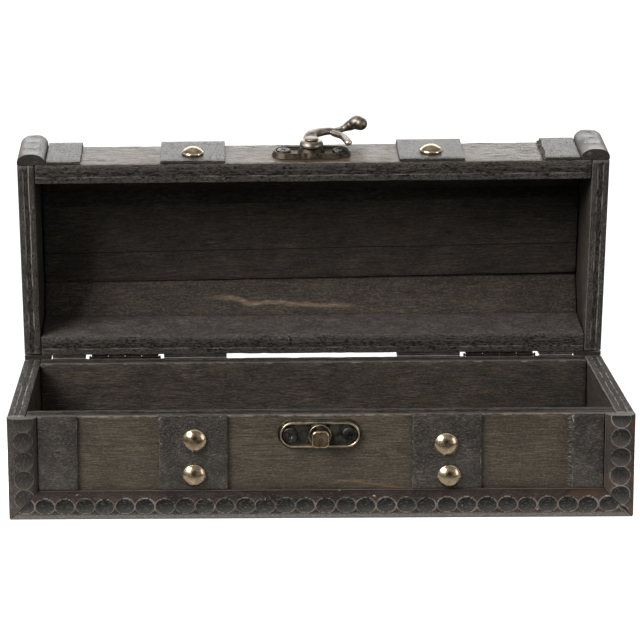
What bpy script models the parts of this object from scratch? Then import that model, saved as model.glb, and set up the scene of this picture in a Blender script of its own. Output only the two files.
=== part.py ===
"""Small wooden chest box: mitred coin-bead mouldings, folded straps, butt hinges and a hook latch.

Units are metres, +Z is up, +X runs along the width and -Y is the front. The origin is the centre
of the underside. The lid is modelled shut around its hinge axis, and the axis holds it open.
"""
import math

import bmesh
import bpy
from mathutils import Matrix, Vector

MM = 0.001

# Box
WIDTH = 220 * MM
DEPTH = 77 * MM
BASE_HEIGHT = 37.5 * MM
END_THICKNESS = 6.3 * MM
WALL_THICKNESS = 7.4 * MM
BOTTOM_THICKNESS = 4 * MM
BOARD_EASE = 0.35 * MM

# Lid
LID_WALL_HEIGHT = 21 * MM
LID_HEIGHT = 34.5 * MM
SLOPE_RUN = 21 * MM
SLOPE_THICKNESS = 4.5 * MM
TOP_THICKNESS = 7.4 * MM
OPEN_ANGLE = math.radians(81)
STOP_SLACK = math.radians(3)

# Clearances
RIM_GAP = 0.6 * MM
SEAT_GAP = 0.3 * MM

# Straps and end strips
STRAP_THICKNESS = 1.2 * MM
STRAP_WIDTH = 24.2 * MM
STRAP_CENTRE = 44.5 * MM
LID_STRIP_WIDTH = 13 * MM
BACK_STRIP_WIDTH = 13 * MM
FRONT_STRIP_WIDTH_LEFT = 14 * MM
FRONT_STRIP_WIDTH_RIGHT = 11.5 * MM
BACK_STRAP_LIFT = 0.6 * MM

# Coin-bead moulding
MOULDING_WIDTH = 10.4 * MM
MOULDING_HEIGHT = 4.2 * MM
MOULDING_EDGE = 1 * MM
COIN_RISE = 0.6 * MM
COIN_DIAMETER = 6.4 * MM
COIN_SPACING = 0.6 * MM
COIN_SIDES = 14
ARCH_SEGMENTS = 8

# Domed nails, set by hand and so a little off the middle of their straps: the lower one clears the
# moulding by a gap, and the upper one lies a share of the way from the lower one to the rim.
NAIL_RADIUS = 4.2 * MM
NAIL_RISE = 2.5 * MM
NAIL_EDGE = 0.5 * MM
LOWER_NAIL_GAPS = {"left": 1.1 * MM, "right": 0.4 * MM}
LOWER_NAIL_OFFSETS = {"left": 0.2 * MM, "right": 0.8 * MM}
UPPER_NAIL_OFFSETS = {"left": 0.5 * MM, "right": -0.3 * MM}
UPPER_NAIL_SHARES = {"left": 0.595, "right": 0.523}
LID_NAIL_RISE = 7.5 * MM

# Hinges
HINGE_SIDE_GAP = 2 * MM
LEAF_HEIGHT = 9 * MM
LEAF_THICKNESS = 0.8 * MM
KNUCKLE_COUNT = 4
KNUCKLE_GAP = 0.3 * MM
BARREL_CLEARANCE = 0.15 * MM
PIN_RADIUS = 0.45 * MM
PIN_CLEARANCE = 0.1 * MM
PIN_HEAD_RADIUS = 0.8 * MM
PIN_HEAD_LENGTH = 0.6 * MM
LEAF_SCREW_RADIUS = 1.8 * MM
LEAF_SCREW_RISE = 0.5 * MM

# Latch and catch plates
PLATE_LENGTH = 29.6 * MM
PLATE_WIDTH = 10.8 * MM
PLATE_DRAFT = 0.9 * MM
PLATE_FLOOR = 1.1 * MM
PLATE_RIM_HEIGHT = 2 * MM
PLATE_RIM_WIDTH = 0.6 * MM
BOSS_RADIUS = 4 * MM
BOSS_FOOT_INSET = 0.5 * MM
BOSS_HEIGHT = 3.2 * MM
SCREW_MARGIN = 0.4 * MM
SCREW_RADIUS = 2.5 * MM
SCREW_HEIGHT = 0.8 * MM
SCREW_CROSS_LENGTH = 2.6 * MM
SCREW_CROSS_WIDTH = 0.6 * MM
SCREW_CROSS_DEPTH = 0.45 * MM
PIVOT_RISE = 9.3 * MM
STUD_DROP = 6.9 * MM

# Catch knob
NECK_RADIUS = 1.4 * MM
KNOB_SIZE = 6.1 * MM
KNOB_THICKNESS = 1.9 * MM
KNOB_CORNER = 1.8 * MM
KNOB_EASE = 0.5 * MM

# Hook
HOOK_LEVEL = 5 * MM
HOOK_CLEARANCE = 0.35 * MM
STUD_ANGLE = 43
EYE_FOOT_RADIUS = 4.4 * MM
EYE_TOP_RADIUS = 3.3 * MM
EYE_HEIGHT = 2.4 * MM
SWAN_WIDTH = 3.7 * MM
SWAN_HEIGHT = 2.7 * MM
SWAN_LIFT = 0.5 * MM
FORK_WIDTH = 3.2 * MM
FORK_HEIGHT = 1.9 * MM
PRONG_WIDTH = 2.1 * MM
JAW_WIDTH = 3 * MM
BULB_WIDTH = 5.8 * MM
BULB_HEIGHT = 5 * MM
BULB_LIFT = 2 * MM
RIVET_RADIUS = 1.2 * MM
RIVET_CLEARANCE = 0.15 * MM
RIVET_HEAD_RADIUS = 2.6 * MM
RIVET_HEAD_HEIGHT = 0.7 * MM

# Facets
ROUND_SIDES = 20
SMALL_SIDES = 14
TUBE_SIDES = 10
PATH_STEPS = 4
SMOOTH_ANGLE = math.radians(40)

# Places worked out from the sizes above
STRAP_PROUD = SEAT_GAP + STRAP_THICKNESS
# The corners of the straps' ends on the lid and on the base meet just past the open angle,
# which sets how far the hinge axis lies behind the back face.
AXIS_BEHIND = STRAP_PROUD - RIM_GAP / 2 / math.tan((OPEN_ANGLE + STOP_SLACK) / 2)
BARREL_RADIUS = AXIS_BEHIND - BARREL_CLEARANCE
BORE_RADIUS = PIN_RADIUS + PIN_CLEARANCE
FRONT_Y = -DEPTH / 2
BACK_Y = DEPTH / 2
INNER_HALF_WIDTH = WIDTH / 2 - END_THICKNESS
STRIP_EDGE = WIDTH / 2 - MOULDING_WIDTH - SEAT_GAP
HINGE_INNER_X = STRAP_CENTRE + STRAP_WIDTH / 2 + HINGE_SIDE_GAP
HINGE_OUTER_X = STRIP_EDGE - max(LID_STRIP_WIDTH, BACK_STRIP_WIDTH) - HINGE_SIDE_GAP
SLOPE_ANGLE = math.atan2(LID_HEIGHT - LID_WALL_HEIGHT, SLOPE_RUN)
SLOPE_PLUMB = SLOPE_THICKNESS / math.cos(SLOPE_ANGLE)
HOOK_REACH = PIVOT_RISE + RIM_GAP + STUD_DROP
KNOB_UNDERSIDE = HOOK_LEVEL + FORK_HEIGHT / 2 + HOOK_CLEARANCE
BOSS_FOOT_RADIUS = PLATE_WIDTH / 2 - BOSS_FOOT_INSET
SCREW_X = PLATE_LENGTH / 2 - PLATE_DRAFT - PLATE_RIM_WIDTH - SCREW_MARGIN - SCREW_RADIUS
BASE_TRIM_BOTTOM = MOULDING_WIDTH + SEAT_GAP

X = Vector((1, 0, 0))
Y = Vector((0, 1, 0))
Z = Vector((0, 0, 1))
FACING_FRONT = Matrix.Rotation(math.radians(90), 4, "X")
FACING_BACK = Matrix.Rotation(math.radians(-90), 4, "X")
ALONG_X = Matrix.Rotation(math.radians(90), 4, "Y")
SIDES = (("left", -1), ("right", 1))


def clear_scene():
    """Remove every object that the file opened with."""
    for item in list(bpy.data.objects):
        bpy.data.objects.remove(item, do_unlink=True)


def material(name, colour, roughness, metallic):
    """Return the named finish, made once as a Principled BSDF."""
    found = bpy.data.materials.get(name)
    if found:
        return found
    made = bpy.data.materials.new(name)
    made.use_nodes = True
    shader = made.node_tree.nodes["Principled BSDF"]
    shader.inputs["Base Color"].default_value = (*colour, 1)
    shader.inputs["Roughness"].default_value = roughness
    shader.inputs["Metallic"].default_value = metallic
    return made


def panel_wood():
    """Return the walnut-brown stain of the boards."""
    return material("stained_panel", (0.075, 0.058, 0.040), 0.62, 0)


def strap_wood():
    """Return the charcoal stain of the straps and end strips."""
    return material("charcoal_strap", (0.040, 0.036, 0.032), 0.66, 0)


def moulding_wood():
    """Return the dark umber of the coin-bead mouldings."""
    return material("umber_moulding", (0.050, 0.040, 0.032), 0.6, 0)


def nail_brass():
    """Return the polished old brass of the domed nails."""
    return material("dome_nail_brass", (0.42, 0.32, 0.17), 0.28, 1)


def antique_bronze():
    """Return the dulled bronze of the latch, the catch and the hinges."""
    return material("antique_bronze", (0.21, 0.165, 0.11), 0.38, 1)


def dark_steel():
    """Return the blackened steel of the screws."""
    return material("blackened_screw", (0.06, 0.058, 0.055), 0.42, 1)


def add_empty(name, place, parent=None):
    """Add an empty at a matrix in its parent's frame."""
    empty = bpy.data.objects.new(name, None)
    bpy.context.scene.collection.objects.link(empty)
    empty.parent = parent
    empty.matrix_basis = place
    return empty


def add_object(name, shape, finish, parent=None, place=None, smooth=False):
    """Turn a bmesh into a named object with one finish, placed in its parent's frame."""
    bmesh.ops.recalc_face_normals(shape, faces=shape.faces)
    mesh = bpy.data.meshes.new(name)
    shape.to_mesh(mesh)
    shape.free()
    mesh.materials.append(finish)
    if smooth:
        mesh.shade_smooth()
        mesh.set_sharp_from_angle(angle=SMOOTH_ANGLE)
    item = bpy.data.objects.new(name, mesh)
    bpy.context.scene.collection.objects.link(item)
    item.parent = parent
    if place is not None:
        item.matrix_basis = place
    return item


def combine(item, other, operation):
    """Join or cut an object with a helper, which is kept out of the model itself."""
    other.hide_render = True
    other.display_type = "WIRE"
    step = item.modifiers.new(other.name, "BOOLEAN")
    step.operation = operation
    step.solver = "EXACT"
    step.object = other


def ease_edges(item, width=BOARD_EASE):
    """Break the sharp edges of a board."""
    step = item.modifiers.new("eased_edges", "BEVEL")
    step.width = width
    step.segments = 1
    step.limit_method = "ANGLE"


def prism(outline, axes, start, length):
    """Extrude a closed outline.

    The outline's points are measured along axes[0] and axes[1], and the shape runs from start for
    length along axes[2].
    """
    shape = bmesh.new()
    corners = []
    for first, second in outline:
        corners.append(shape.verts.new(axes[0] * first + axes[1] * second + axes[2] * start))
    face = shape.faces.new(corners)
    grown = bmesh.ops.extrude_face_region(shape, geom=[face])
    moved = [part for part in grown["geom"] if isinstance(part, bmesh.types.BMVert)]
    bmesh.ops.translate(shape, verts=moved, vec=axes[2] * length)
    return shape


def rectangle(low, high):
    """Return the corners of an upright rectangle."""
    return [(low[0], low[1]), (high[0], low[1]), (high[0], high[1]), (low[0], high[1])]


def box(low, high):
    """Return a box between two corners."""
    outline = rectangle((low[0], low[1]), (high[0], high[1]))
    return prism(outline, (X, Y, Z), low[2], high[2] - low[2])


def turned(profile, sides):
    """Spin an outline of (radius, height) points, from one pole to the other, about the Z axis."""
    shape = bmesh.new()
    points = [shape.verts.new((radius, 0, height)) for radius, height in profile]
    edges = [shape.edges.new(pair) for pair in zip(points, points[1:])]
    bmesh.ops.spin(
        shape, geom=points + edges, cent=(0, 0, 0), axis=Z, angle=math.tau, steps=sides,
        use_merge=True,
    )
    bmesh.ops.remove_doubles(shape, verts=shape.verts, dist=1e-7)
    return shape


def merged(shapes):
    """Put several separate bodies into one bmesh."""
    whole = bmesh.new()
    for shape in shapes:
        mesh = bpy.data.meshes.new("part")
        shape.to_mesh(mesh)
        shape.free()
        whole.from_mesh(mesh)
        bpy.data.meshes.remove(mesh)
    return whole


def shifted(shape, place):
    """Move a bmesh by a matrix and return it."""
    bmesh.ops.transform(shape, matrix=place, verts=shape.verts)
    return shape


def rod(radius, length, sides=SMALL_SIDES):
    """Return a round bar from the origin up the Z axis."""
    return turned([(0, length), (radius, length), (radius, 0), (0, 0)], sides)


def frame_matrix(origin, along, across):
    """Return the frame with these first two axes and the third square to them."""
    out = along.cross(across)
    turn = Matrix((along, across, out)).transposed().to_4x4()
    return Matrix.Translation(origin) @ turn


class EndCut:
    """A slanted end of a moulding, as its slope across the width and its slope through the height."""

    def __init__(self, across=0.0, out=0.0):
        self.across = across
        self.out = out
        self.setback = SEAT_GAP / 2 * math.sqrt(1 + across ** 2 + out ** 2)
        if across == 0 and out == 0:
            self.setback = 0

    def at(self, width, height):
        """Return how far inside the nominal end the cut lies at a point of the profile."""
        return self.across * width - self.out * height + self.setback

    def coin_margin(self):
        """Return how far inside the nominal end the centre of the first whole coin may lie."""
        lean = math.sqrt(1 + self.across ** 2)
        return self.across * MOULDING_WIDTH / 2 + COIN_DIAMETER / 2 * lean + COIN_SPACING / 2


def arch_profile(height):
    """Return the bead's section: short upright edges and a low arch between them."""
    points = [(0, 0)]
    for step in range(ARCH_SEGMENTS + 1):
        turn = math.pi * step / ARCH_SEGMENTS
        across = MOULDING_WIDTH / 2 * (1 - math.cos(turn))
        points.append((across, MOULDING_EDGE + (height - MOULDING_EDGE) * math.sin(turn)))
    points.append((MOULDING_WIDTH, 0))
    return points


def bead(height, length, first, last):
    """Return a plain bead along X, as wide along Y and standing up along Z, with its ends cut."""
    shape = bmesh.new()
    profile = arch_profile(height)
    near = [shape.verts.new((first.at(c, o), c, o)) for c, o in profile]
    far = [shape.verts.new((length - last.at(c, o), c, o)) for c, o in profile]
    shape.faces.new(near)
    shape.faces.new(far)
    for index in range(len(profile)):
        after = (index + 1) % len(profile)
        shape.faces.new((near[index], near[after], far[after], far[index]))
    return shape


def coin_row(length, first, last):
    """Return the row of upright discs whose tops become the coins."""
    pitch = COIN_DIAMETER + COIN_SPACING
    low = first.coin_margin()
    high = length - last.coin_margin()
    count = max(1, int((high - low) / pitch + 0.01) + 1)
    start = (low + high - (count - 1) * pitch) / 2
    discs = []
    for index in range(count):
        disc = rod(COIN_DIAMETER / 2, MOULDING_HEIGHT, COIN_SIDES)
        place = Vector((start + index * pitch, MOULDING_WIDTH / 2, MOULDING_EDGE / 2))
        discs.append(shifted(disc, Matrix.Translation(place)))
    return merged(discs)


def coin_moulding(name, place, length, first, last, parent=None):
    """Make one length of coin-bead: a ground bead with discs of a taller bead standing on it."""
    finish = moulding_wood()
    ground = bead(MOULDING_HEIGHT - COIN_RISE, length, first, last)
    item = add_object(name, ground, finish, parent, place)
    crown = add_object(name + "_crown", bead(MOULDING_HEIGHT, length, first, last), finish, parent, place)
    coins = add_object(name + "_coins", coin_row(length, first, last), finish, parent, place)
    combine(coins, crown, "INTERSECT")
    combine(item, coins, "UNION")
    return item


def build_base_boards():
    """Make the bottom and the four walls; the ends run the full depth and cover the other boards."""
    inner_x = INNER_HALF_WIDTH - SEAT_GAP
    inner_y = DEPTH / 2 - WALL_THICKNESS
    boards = {
        "base_bottom": (
            (-inner_x, -inner_y + SEAT_GAP, 0),
            (inner_x, inner_y - SEAT_GAP, BOTTOM_THICKNESS),
        ),
        "base_front": ((-inner_x, FRONT_Y, 0), (inner_x, -inner_y, BASE_HEIGHT)),
        "base_back": ((-inner_x, inner_y, 0), (inner_x, BACK_Y, BASE_HEIGHT)),
        "base_left_end": ((-WIDTH / 2, FRONT_Y, 0), (-INNER_HALF_WIDTH, BACK_Y, BASE_HEIGHT)),
        "base_right_end": ((INNER_HALF_WIDTH, FRONT_Y, 0), (WIDTH / 2, BACK_Y, BASE_HEIGHT)),
    }
    for name, (low, high) in boards.items():
        ease_edges(add_object(name, box(low, high), panel_wood()))


def build_base_trim():
    """Make the straps and end strips on the front and the back."""
    half = STRAP_WIDTH / 2
    strips = {
        "left": (-STRIP_EDGE, -STRIP_EDGE + FRONT_STRIP_WIDTH_LEFT),
        "right": (STRIP_EDGE - FRONT_STRIP_WIDTH_RIGHT, STRIP_EDGE),
    }
    back_strips = {
        "left": (-STRIP_EDGE, -STRIP_EDGE + BACK_STRIP_WIDTH),
        "right": (STRIP_EDGE - BACK_STRIP_WIDTH, STRIP_EDGE),
    }
    front = (FRONT_Y - STRAP_PROUD, FRONT_Y - SEAT_GAP)
    back = (BACK_Y + SEAT_GAP, BACK_Y + STRAP_PROUD)
    for side, sign in SIDES:
        strap = (sign * STRAP_CENTRE - half, sign * STRAP_CENTRE + half)
        pieces = (
            ("base_front_strap_" + side, strap, front, BASE_TRIM_BOTTOM),
            ("base_front_end_strip_" + side, strips[side], front, BASE_TRIM_BOTTOM),
            ("base_back_strap_" + side, strap, back, BACK_STRAP_LIFT),
            ("base_back_end_strip_" + side, back_strips[side], back, BACK_STRAP_LIFT),
        )
        for name, across, through, bottom in pieces:
            low = (across[0], through[0], bottom)
            high = (across[1], through[1], BASE_HEIGHT)
            add_object(name, box(low, high), strap_wood())


def build_base_mouldings():
    """Make the bottom moulding and the two corner mouldings of the front, mitred together."""
    seat = FRONT_Y - SEAT_GAP
    square = EndCut()
    mitre = EndCut(across=1)
    bottom = frame_matrix(Vector((-WIDTH / 2, seat, 0)), X, Z)
    coin_moulding("base_bottom_moulding", bottom, WIDTH, mitre, mitre)
    left = frame_matrix(Vector((-WIDTH / 2, seat, BASE_HEIGHT)), -Z, X)
    coin_moulding("base_corner_moulding_left", left, BASE_HEIGHT, square, mitre)
    right = frame_matrix(Vector((WIDTH / 2, seat, 0)), Z, -X)
    coin_moulding("base_corner_moulding_right", right, BASE_HEIGHT, mitre, square)


def dome_nail(name, place, parent=None):
    """Make a domed nail head that stands on the frame's Z axis."""
    profile = []
    for step in range(5):
        turn = math.radians(90) * step / 4
        rise = NAIL_EDGE + (NAIL_RISE - NAIL_EDGE) * math.cos(turn)
        profile.append((NAIL_RADIUS * math.sin(turn), rise))
    profile += [(NAIL_RADIUS, 0), (0, 0)]
    add_object(name, turned(profile, ROUND_SIDES), nail_brass(), parent, place, smooth=True)


def build_base_nails():
    """Put two nails in each strap of the base's front."""
    face = FRONT_Y - STRAP_PROUD - SEAT_GAP
    for side, sign in SIDES:
        centre = sign * STRAP_CENTRE
        lower = BASE_TRIM_BOTTOM + LOWER_NAIL_GAPS[side] + NAIL_RADIUS
        upper = lower + UPPER_NAIL_SHARES[side] * (BASE_HEIGHT - lower)
        lower_spot = Matrix.Translation((centre + LOWER_NAIL_OFFSETS[side], face, lower))
        dome_nail("base_nail_" + side + "_lower", lower_spot @ FACING_FRONT)
        upper_spot = Matrix.Translation((centre + UPPER_NAIL_OFFSETS[side], face, upper))
        dome_nail("base_nail_" + side + "_upper", upper_spot @ FACING_FRONT)


def rounded_outline(length, width, radius, steps):
    """Return a rectangle's outline with rounded corners, which may be as round as half its width."""
    points = []
    for across, up, quarter in ((1, 1, 0), (-1, 1, 1), (-1, -1, 2), (1, -1, 3)):
        centre = Vector((across * (length / 2 - radius), up * (width / 2 - radius)))
        for step in range(steps + 1):
            turn = math.radians(90) * (quarter + step / steps)
            points.append(centre + radius * Vector((math.cos(turn), math.sin(turn))))
    before = [points[-1]] + points[:-1]
    return [tuple(point) for point, last in zip(points, before) if (point - last).length > radius / 100]


def latch_plate(name, parent):
    """Make a round-ended plate with drafted sides, a raised rim and a flared boss in its middle."""
    corner_steps = SMALL_SIDES // 2
    outline = rounded_outline(PLATE_LENGTH, PLATE_WIDTH, PLATE_WIDTH / 2, corner_steps)
    upper_width = PLATE_WIDTH - 2 * PLATE_DRAFT
    upper = rounded_outline(PLATE_LENGTH - 2 * PLATE_DRAFT, upper_width, upper_width / 2, corner_steps)
    shape = prism(outline, (X, Y, Z), SEAT_GAP, PLATE_RIM_HEIGHT - SEAT_GAP)
    top = max(shape.faces, key=lambda face: face.calc_center_median().z)
    for vertex in top.verts:
        nearest = outline.index(min(outline, key=lambda point: (vertex.co.xy - Vector(point)).length))
        vertex.co.xy = upper[nearest]
    bmesh.ops.inset_region(shape, faces=[top], thickness=PLATE_RIM_WIDTH, use_even_offset=True)
    bmesh.ops.translate(shape, verts=top.verts, vec=Z * (PLATE_FLOOR - PLATE_RIM_HEIGHT))
    item = add_object(name, shape, antique_bronze(), parent)
    flare = BOSS_FOOT_RADIUS - BOSS_RADIUS
    rise = BOSS_HEIGHT - PLATE_FLOOR
    profile = [
        (0, BOSS_HEIGHT),
        (BOSS_RADIUS, BOSS_HEIGHT),
        (BOSS_RADIUS + flare * 0.1, PLATE_FLOOR + rise * 0.6),
        (BOSS_RADIUS + flare * 0.4, PLATE_FLOOR + rise * 0.25),
        (BOSS_FOOT_RADIUS, PLATE_FLOOR * 0.9),
        (BOSS_FOOT_RADIUS, PLATE_FLOOR / 2),
        (0, PLATE_FLOOR / 2),
    ]
    boss = add_object(name + "_boss", turned(profile, ROUND_SIDES), antique_bronze(), parent)
    combine(item, boss, "UNION")


def cross_screw(name, across, parent):
    """Make a low screw head with a crosshead recess, lying in a plate's floor."""
    foot = PLATE_FLOOR + SEAT_GAP
    top = foot + SCREW_HEIGHT
    profile = [
        (0, top),
        (SCREW_RADIUS * 0.7, top),
        (SCREW_RADIUS, foot + SCREW_HEIGHT / 2),
        (SCREW_RADIUS, foot),
        (0, foot),
    ]
    place = Matrix.Translation((across, 0, 0))
    item = add_object(name, turned(profile, ROUND_SIDES), dark_steel(), parent, place)
    reach = SCREW_CROSS_LENGTH / 2
    half = SCREW_CROSS_WIDTH / 2
    outline = [
        (reach, -half), (reach, half), (half, half), (half, reach), (-half, reach), (-half, half),
        (-reach, half), (-reach, -half), (-half, -half), (-half, -reach), (half, -reach), (half, -half),
    ]
    recess = prism(outline, (X, Y, Z), top - SCREW_CROSS_DEPTH, 2 * SCREW_CROSS_DEPTH)
    combine(item, add_object(name + "_recess", recess, dark_steel(), parent, place), "DIFFERENCE")


def build_catch():
    """Make the catch plate, its screws and the knob that the hook goes round."""
    spot = Matrix.Translation((0, FRONT_Y, BASE_HEIGHT - STUD_DROP))
    mount = add_empty("catch_mount", spot @ FACING_FRONT)
    latch_plate("catch_plate", mount)
    cross_screw("catch_screw_left", -SCREW_X, mount)
    cross_screw("catch_screw_right", SCREW_X, mount)
    foot = BOSS_HEIGHT + SEAT_GAP
    neck = rod(NECK_RADIUS, KNOB_UNDERSIDE + KNOB_THICKNESS / 2 - foot)
    neck = shifted(neck, Matrix.Translation((0, 0, foot)))
    stud = add_object("catch_stud", neck, antique_bronze(), mount)
    outline = rounded_outline(KNOB_SIZE, KNOB_SIZE, KNOB_CORNER, 4)
    block = prism(outline, (X, Y, Z), KNOB_UNDERSIDE, KNOB_THICKNESS)
    knob = add_object("catch_stud_knob", block, antique_bronze(), mount)
    easing = knob.modifiers.new("eased_knob", "BEVEL")
    easing.width = KNOB_EASE
    easing.segments = 2
    easing.limit_method = "ANGLE"
    easing.angle_limit = math.radians(60)
    combine(stud, knob, "UNION")


def hinge_leaf(name, centre, length, owned, parent=None, place=None, upright=1):
    """Make one leaf with its own knuckles, around the pin's axis.

    The leaf stands up from the axis where upright is 1 and hangs down from it where it is -1.
    The frame's origin lies on the axis, with +Y away from the wood.
    """
    pitch = length / KNUCKLE_COUNT
    notch = BARREL_RADIUS + SEAT_GAP
    left = centre - length / 2
    right = left + length
    outline = [(left, LEAF_HEIGHT), (right, LEAF_HEIGHT), (right, notch)]
    knuckles = []
    for index in reversed(owned):
        low = left + index * pitch + KNUCKLE_GAP / 2
        high = left + (index + 1) * pitch - KNUCKLE_GAP / 2
        outline += [(high, notch), (high, 0), (low, 0), (low, notch)]
        on_axis = Matrix.Translation((low, 0, 0)) @ ALONG_X
        knuckles.append(shifted(rod(BARREL_RADIUS, high - low), on_axis))
    outline.append((left, notch))
    outline = [(across, upright * up) for across, up in outline]
    back = -AXIS_BEHIND + SEAT_GAP
    leaf = prism(outline, (X, Z, Y), back, LEAF_THICKNESS)
    item = add_object(name, leaf, antique_bronze(), parent, place)
    screw_height = upright * (LEAF_HEIGHT + notch) / 2
    for across in (left + length / 4, right - length / 4):
        spot = Matrix.Translation((across, back + LEAF_THICKNESS / 2, screw_height))
        head = rod(LEAF_SCREW_RADIUS, LEAF_THICKNESS / 2 + LEAF_SCREW_RISE)
        knuckles.append(shifted(head, spot @ FACING_BACK))
    barrel = add_object(name + "_barrel", merged(knuckles), antique_bronze(), parent, place)
    combine(item, barrel, "UNION")
    bore_start = Matrix.Translation((left - length / 2, 0, 0))
    bore = shifted(rod(BORE_RADIUS, 2 * length), bore_start @ ALONG_X)
    combine(item, add_object(name + "_bore", bore, antique_bronze(), parent, place), "DIFFERENCE")


def hinge_pin(name, centre, length, place):
    """Make a headed pin through one hinge."""
    half = length / 2 + SEAT_GAP
    tip = half + PIN_HEAD_LENGTH
    profile = [
        (0, tip), (PIN_HEAD_RADIUS, tip), (PIN_HEAD_RADIUS, half), (PIN_RADIUS, half),
        (PIN_RADIUS, -half), (PIN_HEAD_RADIUS, -half), (PIN_HEAD_RADIUS, -tip), (0, -tip),
    ]
    spot = place @ Matrix.Translation((centre, 0, 0)) @ ALONG_X
    add_object(name, turned(profile, SMALL_SIDES), antique_bronze(), None, spot)


def build_hinges(lid_axis):
    """Make two hinges on the outside of the back, between the straps and the end strips."""
    length = HINGE_OUTER_X - HINGE_INNER_X
    place = Matrix.Translation((0, BACK_Y + AXIS_BEHIND, BASE_HEIGHT + RIM_GAP / 2))
    for side, sign in SIDES:
        centre = sign * (HINGE_OUTER_X + HINGE_INNER_X) / 2
        hinge_leaf("lid_hinge_leaf_" + side, centre, length, (0, 2), lid_axis)
        hinge_leaf("base_hinge_leaf_" + side, centre, length, (1, 3), None, place, upright=-1)
        hinge_pin("hinge_pin_" + side, centre, length, place)


def lid_corners():
    """Return the lid's outer profile, from the front rim over the top to the back rim.

    Each corner is (y, z) in the frame of the hinge axis with the lid shut.
    """
    back = -AXIS_BEHIND
    front = back - DEPTH
    rim = RIM_GAP / 2
    return [
        Vector((front, rim)),
        Vector((front, rim + LID_WALL_HEIGHT)),
        Vector((front + SLOPE_RUN, rim + LID_HEIGHT)),
        Vector((back - SLOPE_RUN, rim + LID_HEIGHT)),
        Vector((back, rim + LID_WALL_HEIGHT)),
        Vector((back, rim)),
    ]


def outward(first, second):
    """Return the unit normal on the outer side of one edge of the lid's profile."""
    along = (second - first).normalized()
    return Vector((-along.y, along.x))


def offset_path(corners, distance):
    """Return the lid's profile moved outwards, with its corners kept sharp."""
    normals = [outward(a, b) for a, b in zip(corners, corners[1:])]
    moved = [corners[0] + normals[0] * distance]
    for corner, before, after in zip(corners[1:-1], normals, normals[1:]):
        middle = (before + after).normalized()
        moved.append(corner + middle * (distance / middle.dot(before)))
    moved.append(corners[-1] + normals[-1] * distance)
    return moved


def lid_prism(outline, low, high):
    """Extrude an outline of (y, z) points between two places along X."""
    return prism([tuple(point) for point in outline], (Y, Z, X), low, high - low)


def build_lid_boards(lid_axis):
    """Make the lid's walls, ends, top and slopes."""
    corners = lid_corners()
    half = INNER_HALF_WIDTH - SEAT_GAP
    front, back = corners[0].x, corners[-1].x
    rim = corners[0].y
    eaves = corners[1].y
    ridge = corners[2].y
    lean = math.tan(SLOPE_ANGLE)
    inner_eaves = eaves - SLOPE_PLUMB + WALL_THICKNESS * lean
    fit = SEAT_GAP / 2

    def both_ways(points):
        """Return a front outline and its mirror image at the back."""
        mirrored = [(front + back - y, z) for y, z in points]
        return {"front": points, "back": mirrored}

    wall = both_ways([
        (front, rim),
        (front + WALL_THICKNESS, rim),
        (front + WALL_THICKNESS, inner_eaves - fit),
        (front, eaves - fit),
    ])
    slope = both_ways([
        (front, eaves + fit),
        (front + WALL_THICKNESS, inner_eaves + fit),
        (front + SLOPE_RUN - fit, ridge - SLOPE_PLUMB - fit * lean),
        (front + SLOPE_RUN - fit, ridge - fit * lean),
    ])
    for side in ("front", "back"):
        ease_edges(add_object("lid_" + side, lid_prism(wall[side], -half, half), panel_wood(), lid_axis))
        board = lid_prism(slope[side], -half, half)
        ease_edges(add_object("lid_" + side + "_slope", board, panel_wood(), lid_axis))
    top = rectangle(
        (front + SLOPE_RUN + fit, ridge - TOP_THICKNESS),
        (back - SLOPE_RUN - fit, ridge),
    )
    ease_edges(add_object("lid_top", lid_prism(top, -half, half), panel_wood(), lid_axis))
    for side, low, high in (
        ("left", -WIDTH / 2, -INNER_HALF_WIDTH),
        ("right", INNER_HALF_WIDTH, WIDTH / 2),
    ):
        end = lid_prism(corners, low, high)
        ease_edges(add_object("lid_" + side + "_end", end, panel_wood(), lid_axis))


def build_lid_trim(lid_axis):
    """Fold the straps and the end strips over the lid, from rim to rim."""
    corners = lid_corners()
    inside = offset_path(corners, SEAT_GAP)
    outside = offset_path(corners, STRAP_PROUD)
    outline = inside + outside[::-1]
    half = STRAP_WIDTH / 2
    for side, sign in SIDES:
        centre = sign * STRAP_CENTRE
        strap = lid_prism(outline, centre - half, centre + half)
        add_object("lid_strap_" + side, strap, strap_wood(), lid_axis)
        edges = sorted((sign * STRIP_EDGE, sign * (STRIP_EDGE - LID_STRIP_WIDTH)))
        strip = lid_prism(outline, *edges)
        add_object("lid_end_strip_" + side, strip, strap_wood(), lid_axis)


def build_lid_mouldings(lid_axis):
    """Run a coin-bead over each end of the lid in five mitred lengths."""
    corners = lid_corners()
    names = ("front", "front_slope", "top", "back_slope", "back")
    edges = list(zip(corners, corners[1:]))
    normals = [outward(a, b) for a, b in edges]
    folds = [0.0]
    for before, after in zip(normals, normals[1:]):
        folds.append(math.tan(before.angle(after) / 2))
    folds.append(0.0)
    for index, ((first, second), normal) in enumerate(zip(edges, normals)):
        length = (second - first).length
        along = (second - first).normalized()
        seat = normal * SEAT_GAP
        for side, sign in SIDES:
            start = (first if sign > 0 else second) + seat
            forward = along * sign
            origin = Vector((sign * WIDTH / 2, start.x, start.y))
            place = frame_matrix(origin, Vector((0, forward.x, forward.y)), -sign * X)
            cuts = [EndCut(out=folds[index]), EndCut(out=folds[index + 1])]
            if sign < 0:
                cuts.reverse()
            name = "lid_moulding_" + names[index] + "_" + side
            coin_moulding(name, place, length, cuts[0], cuts[1], lid_axis)


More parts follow.
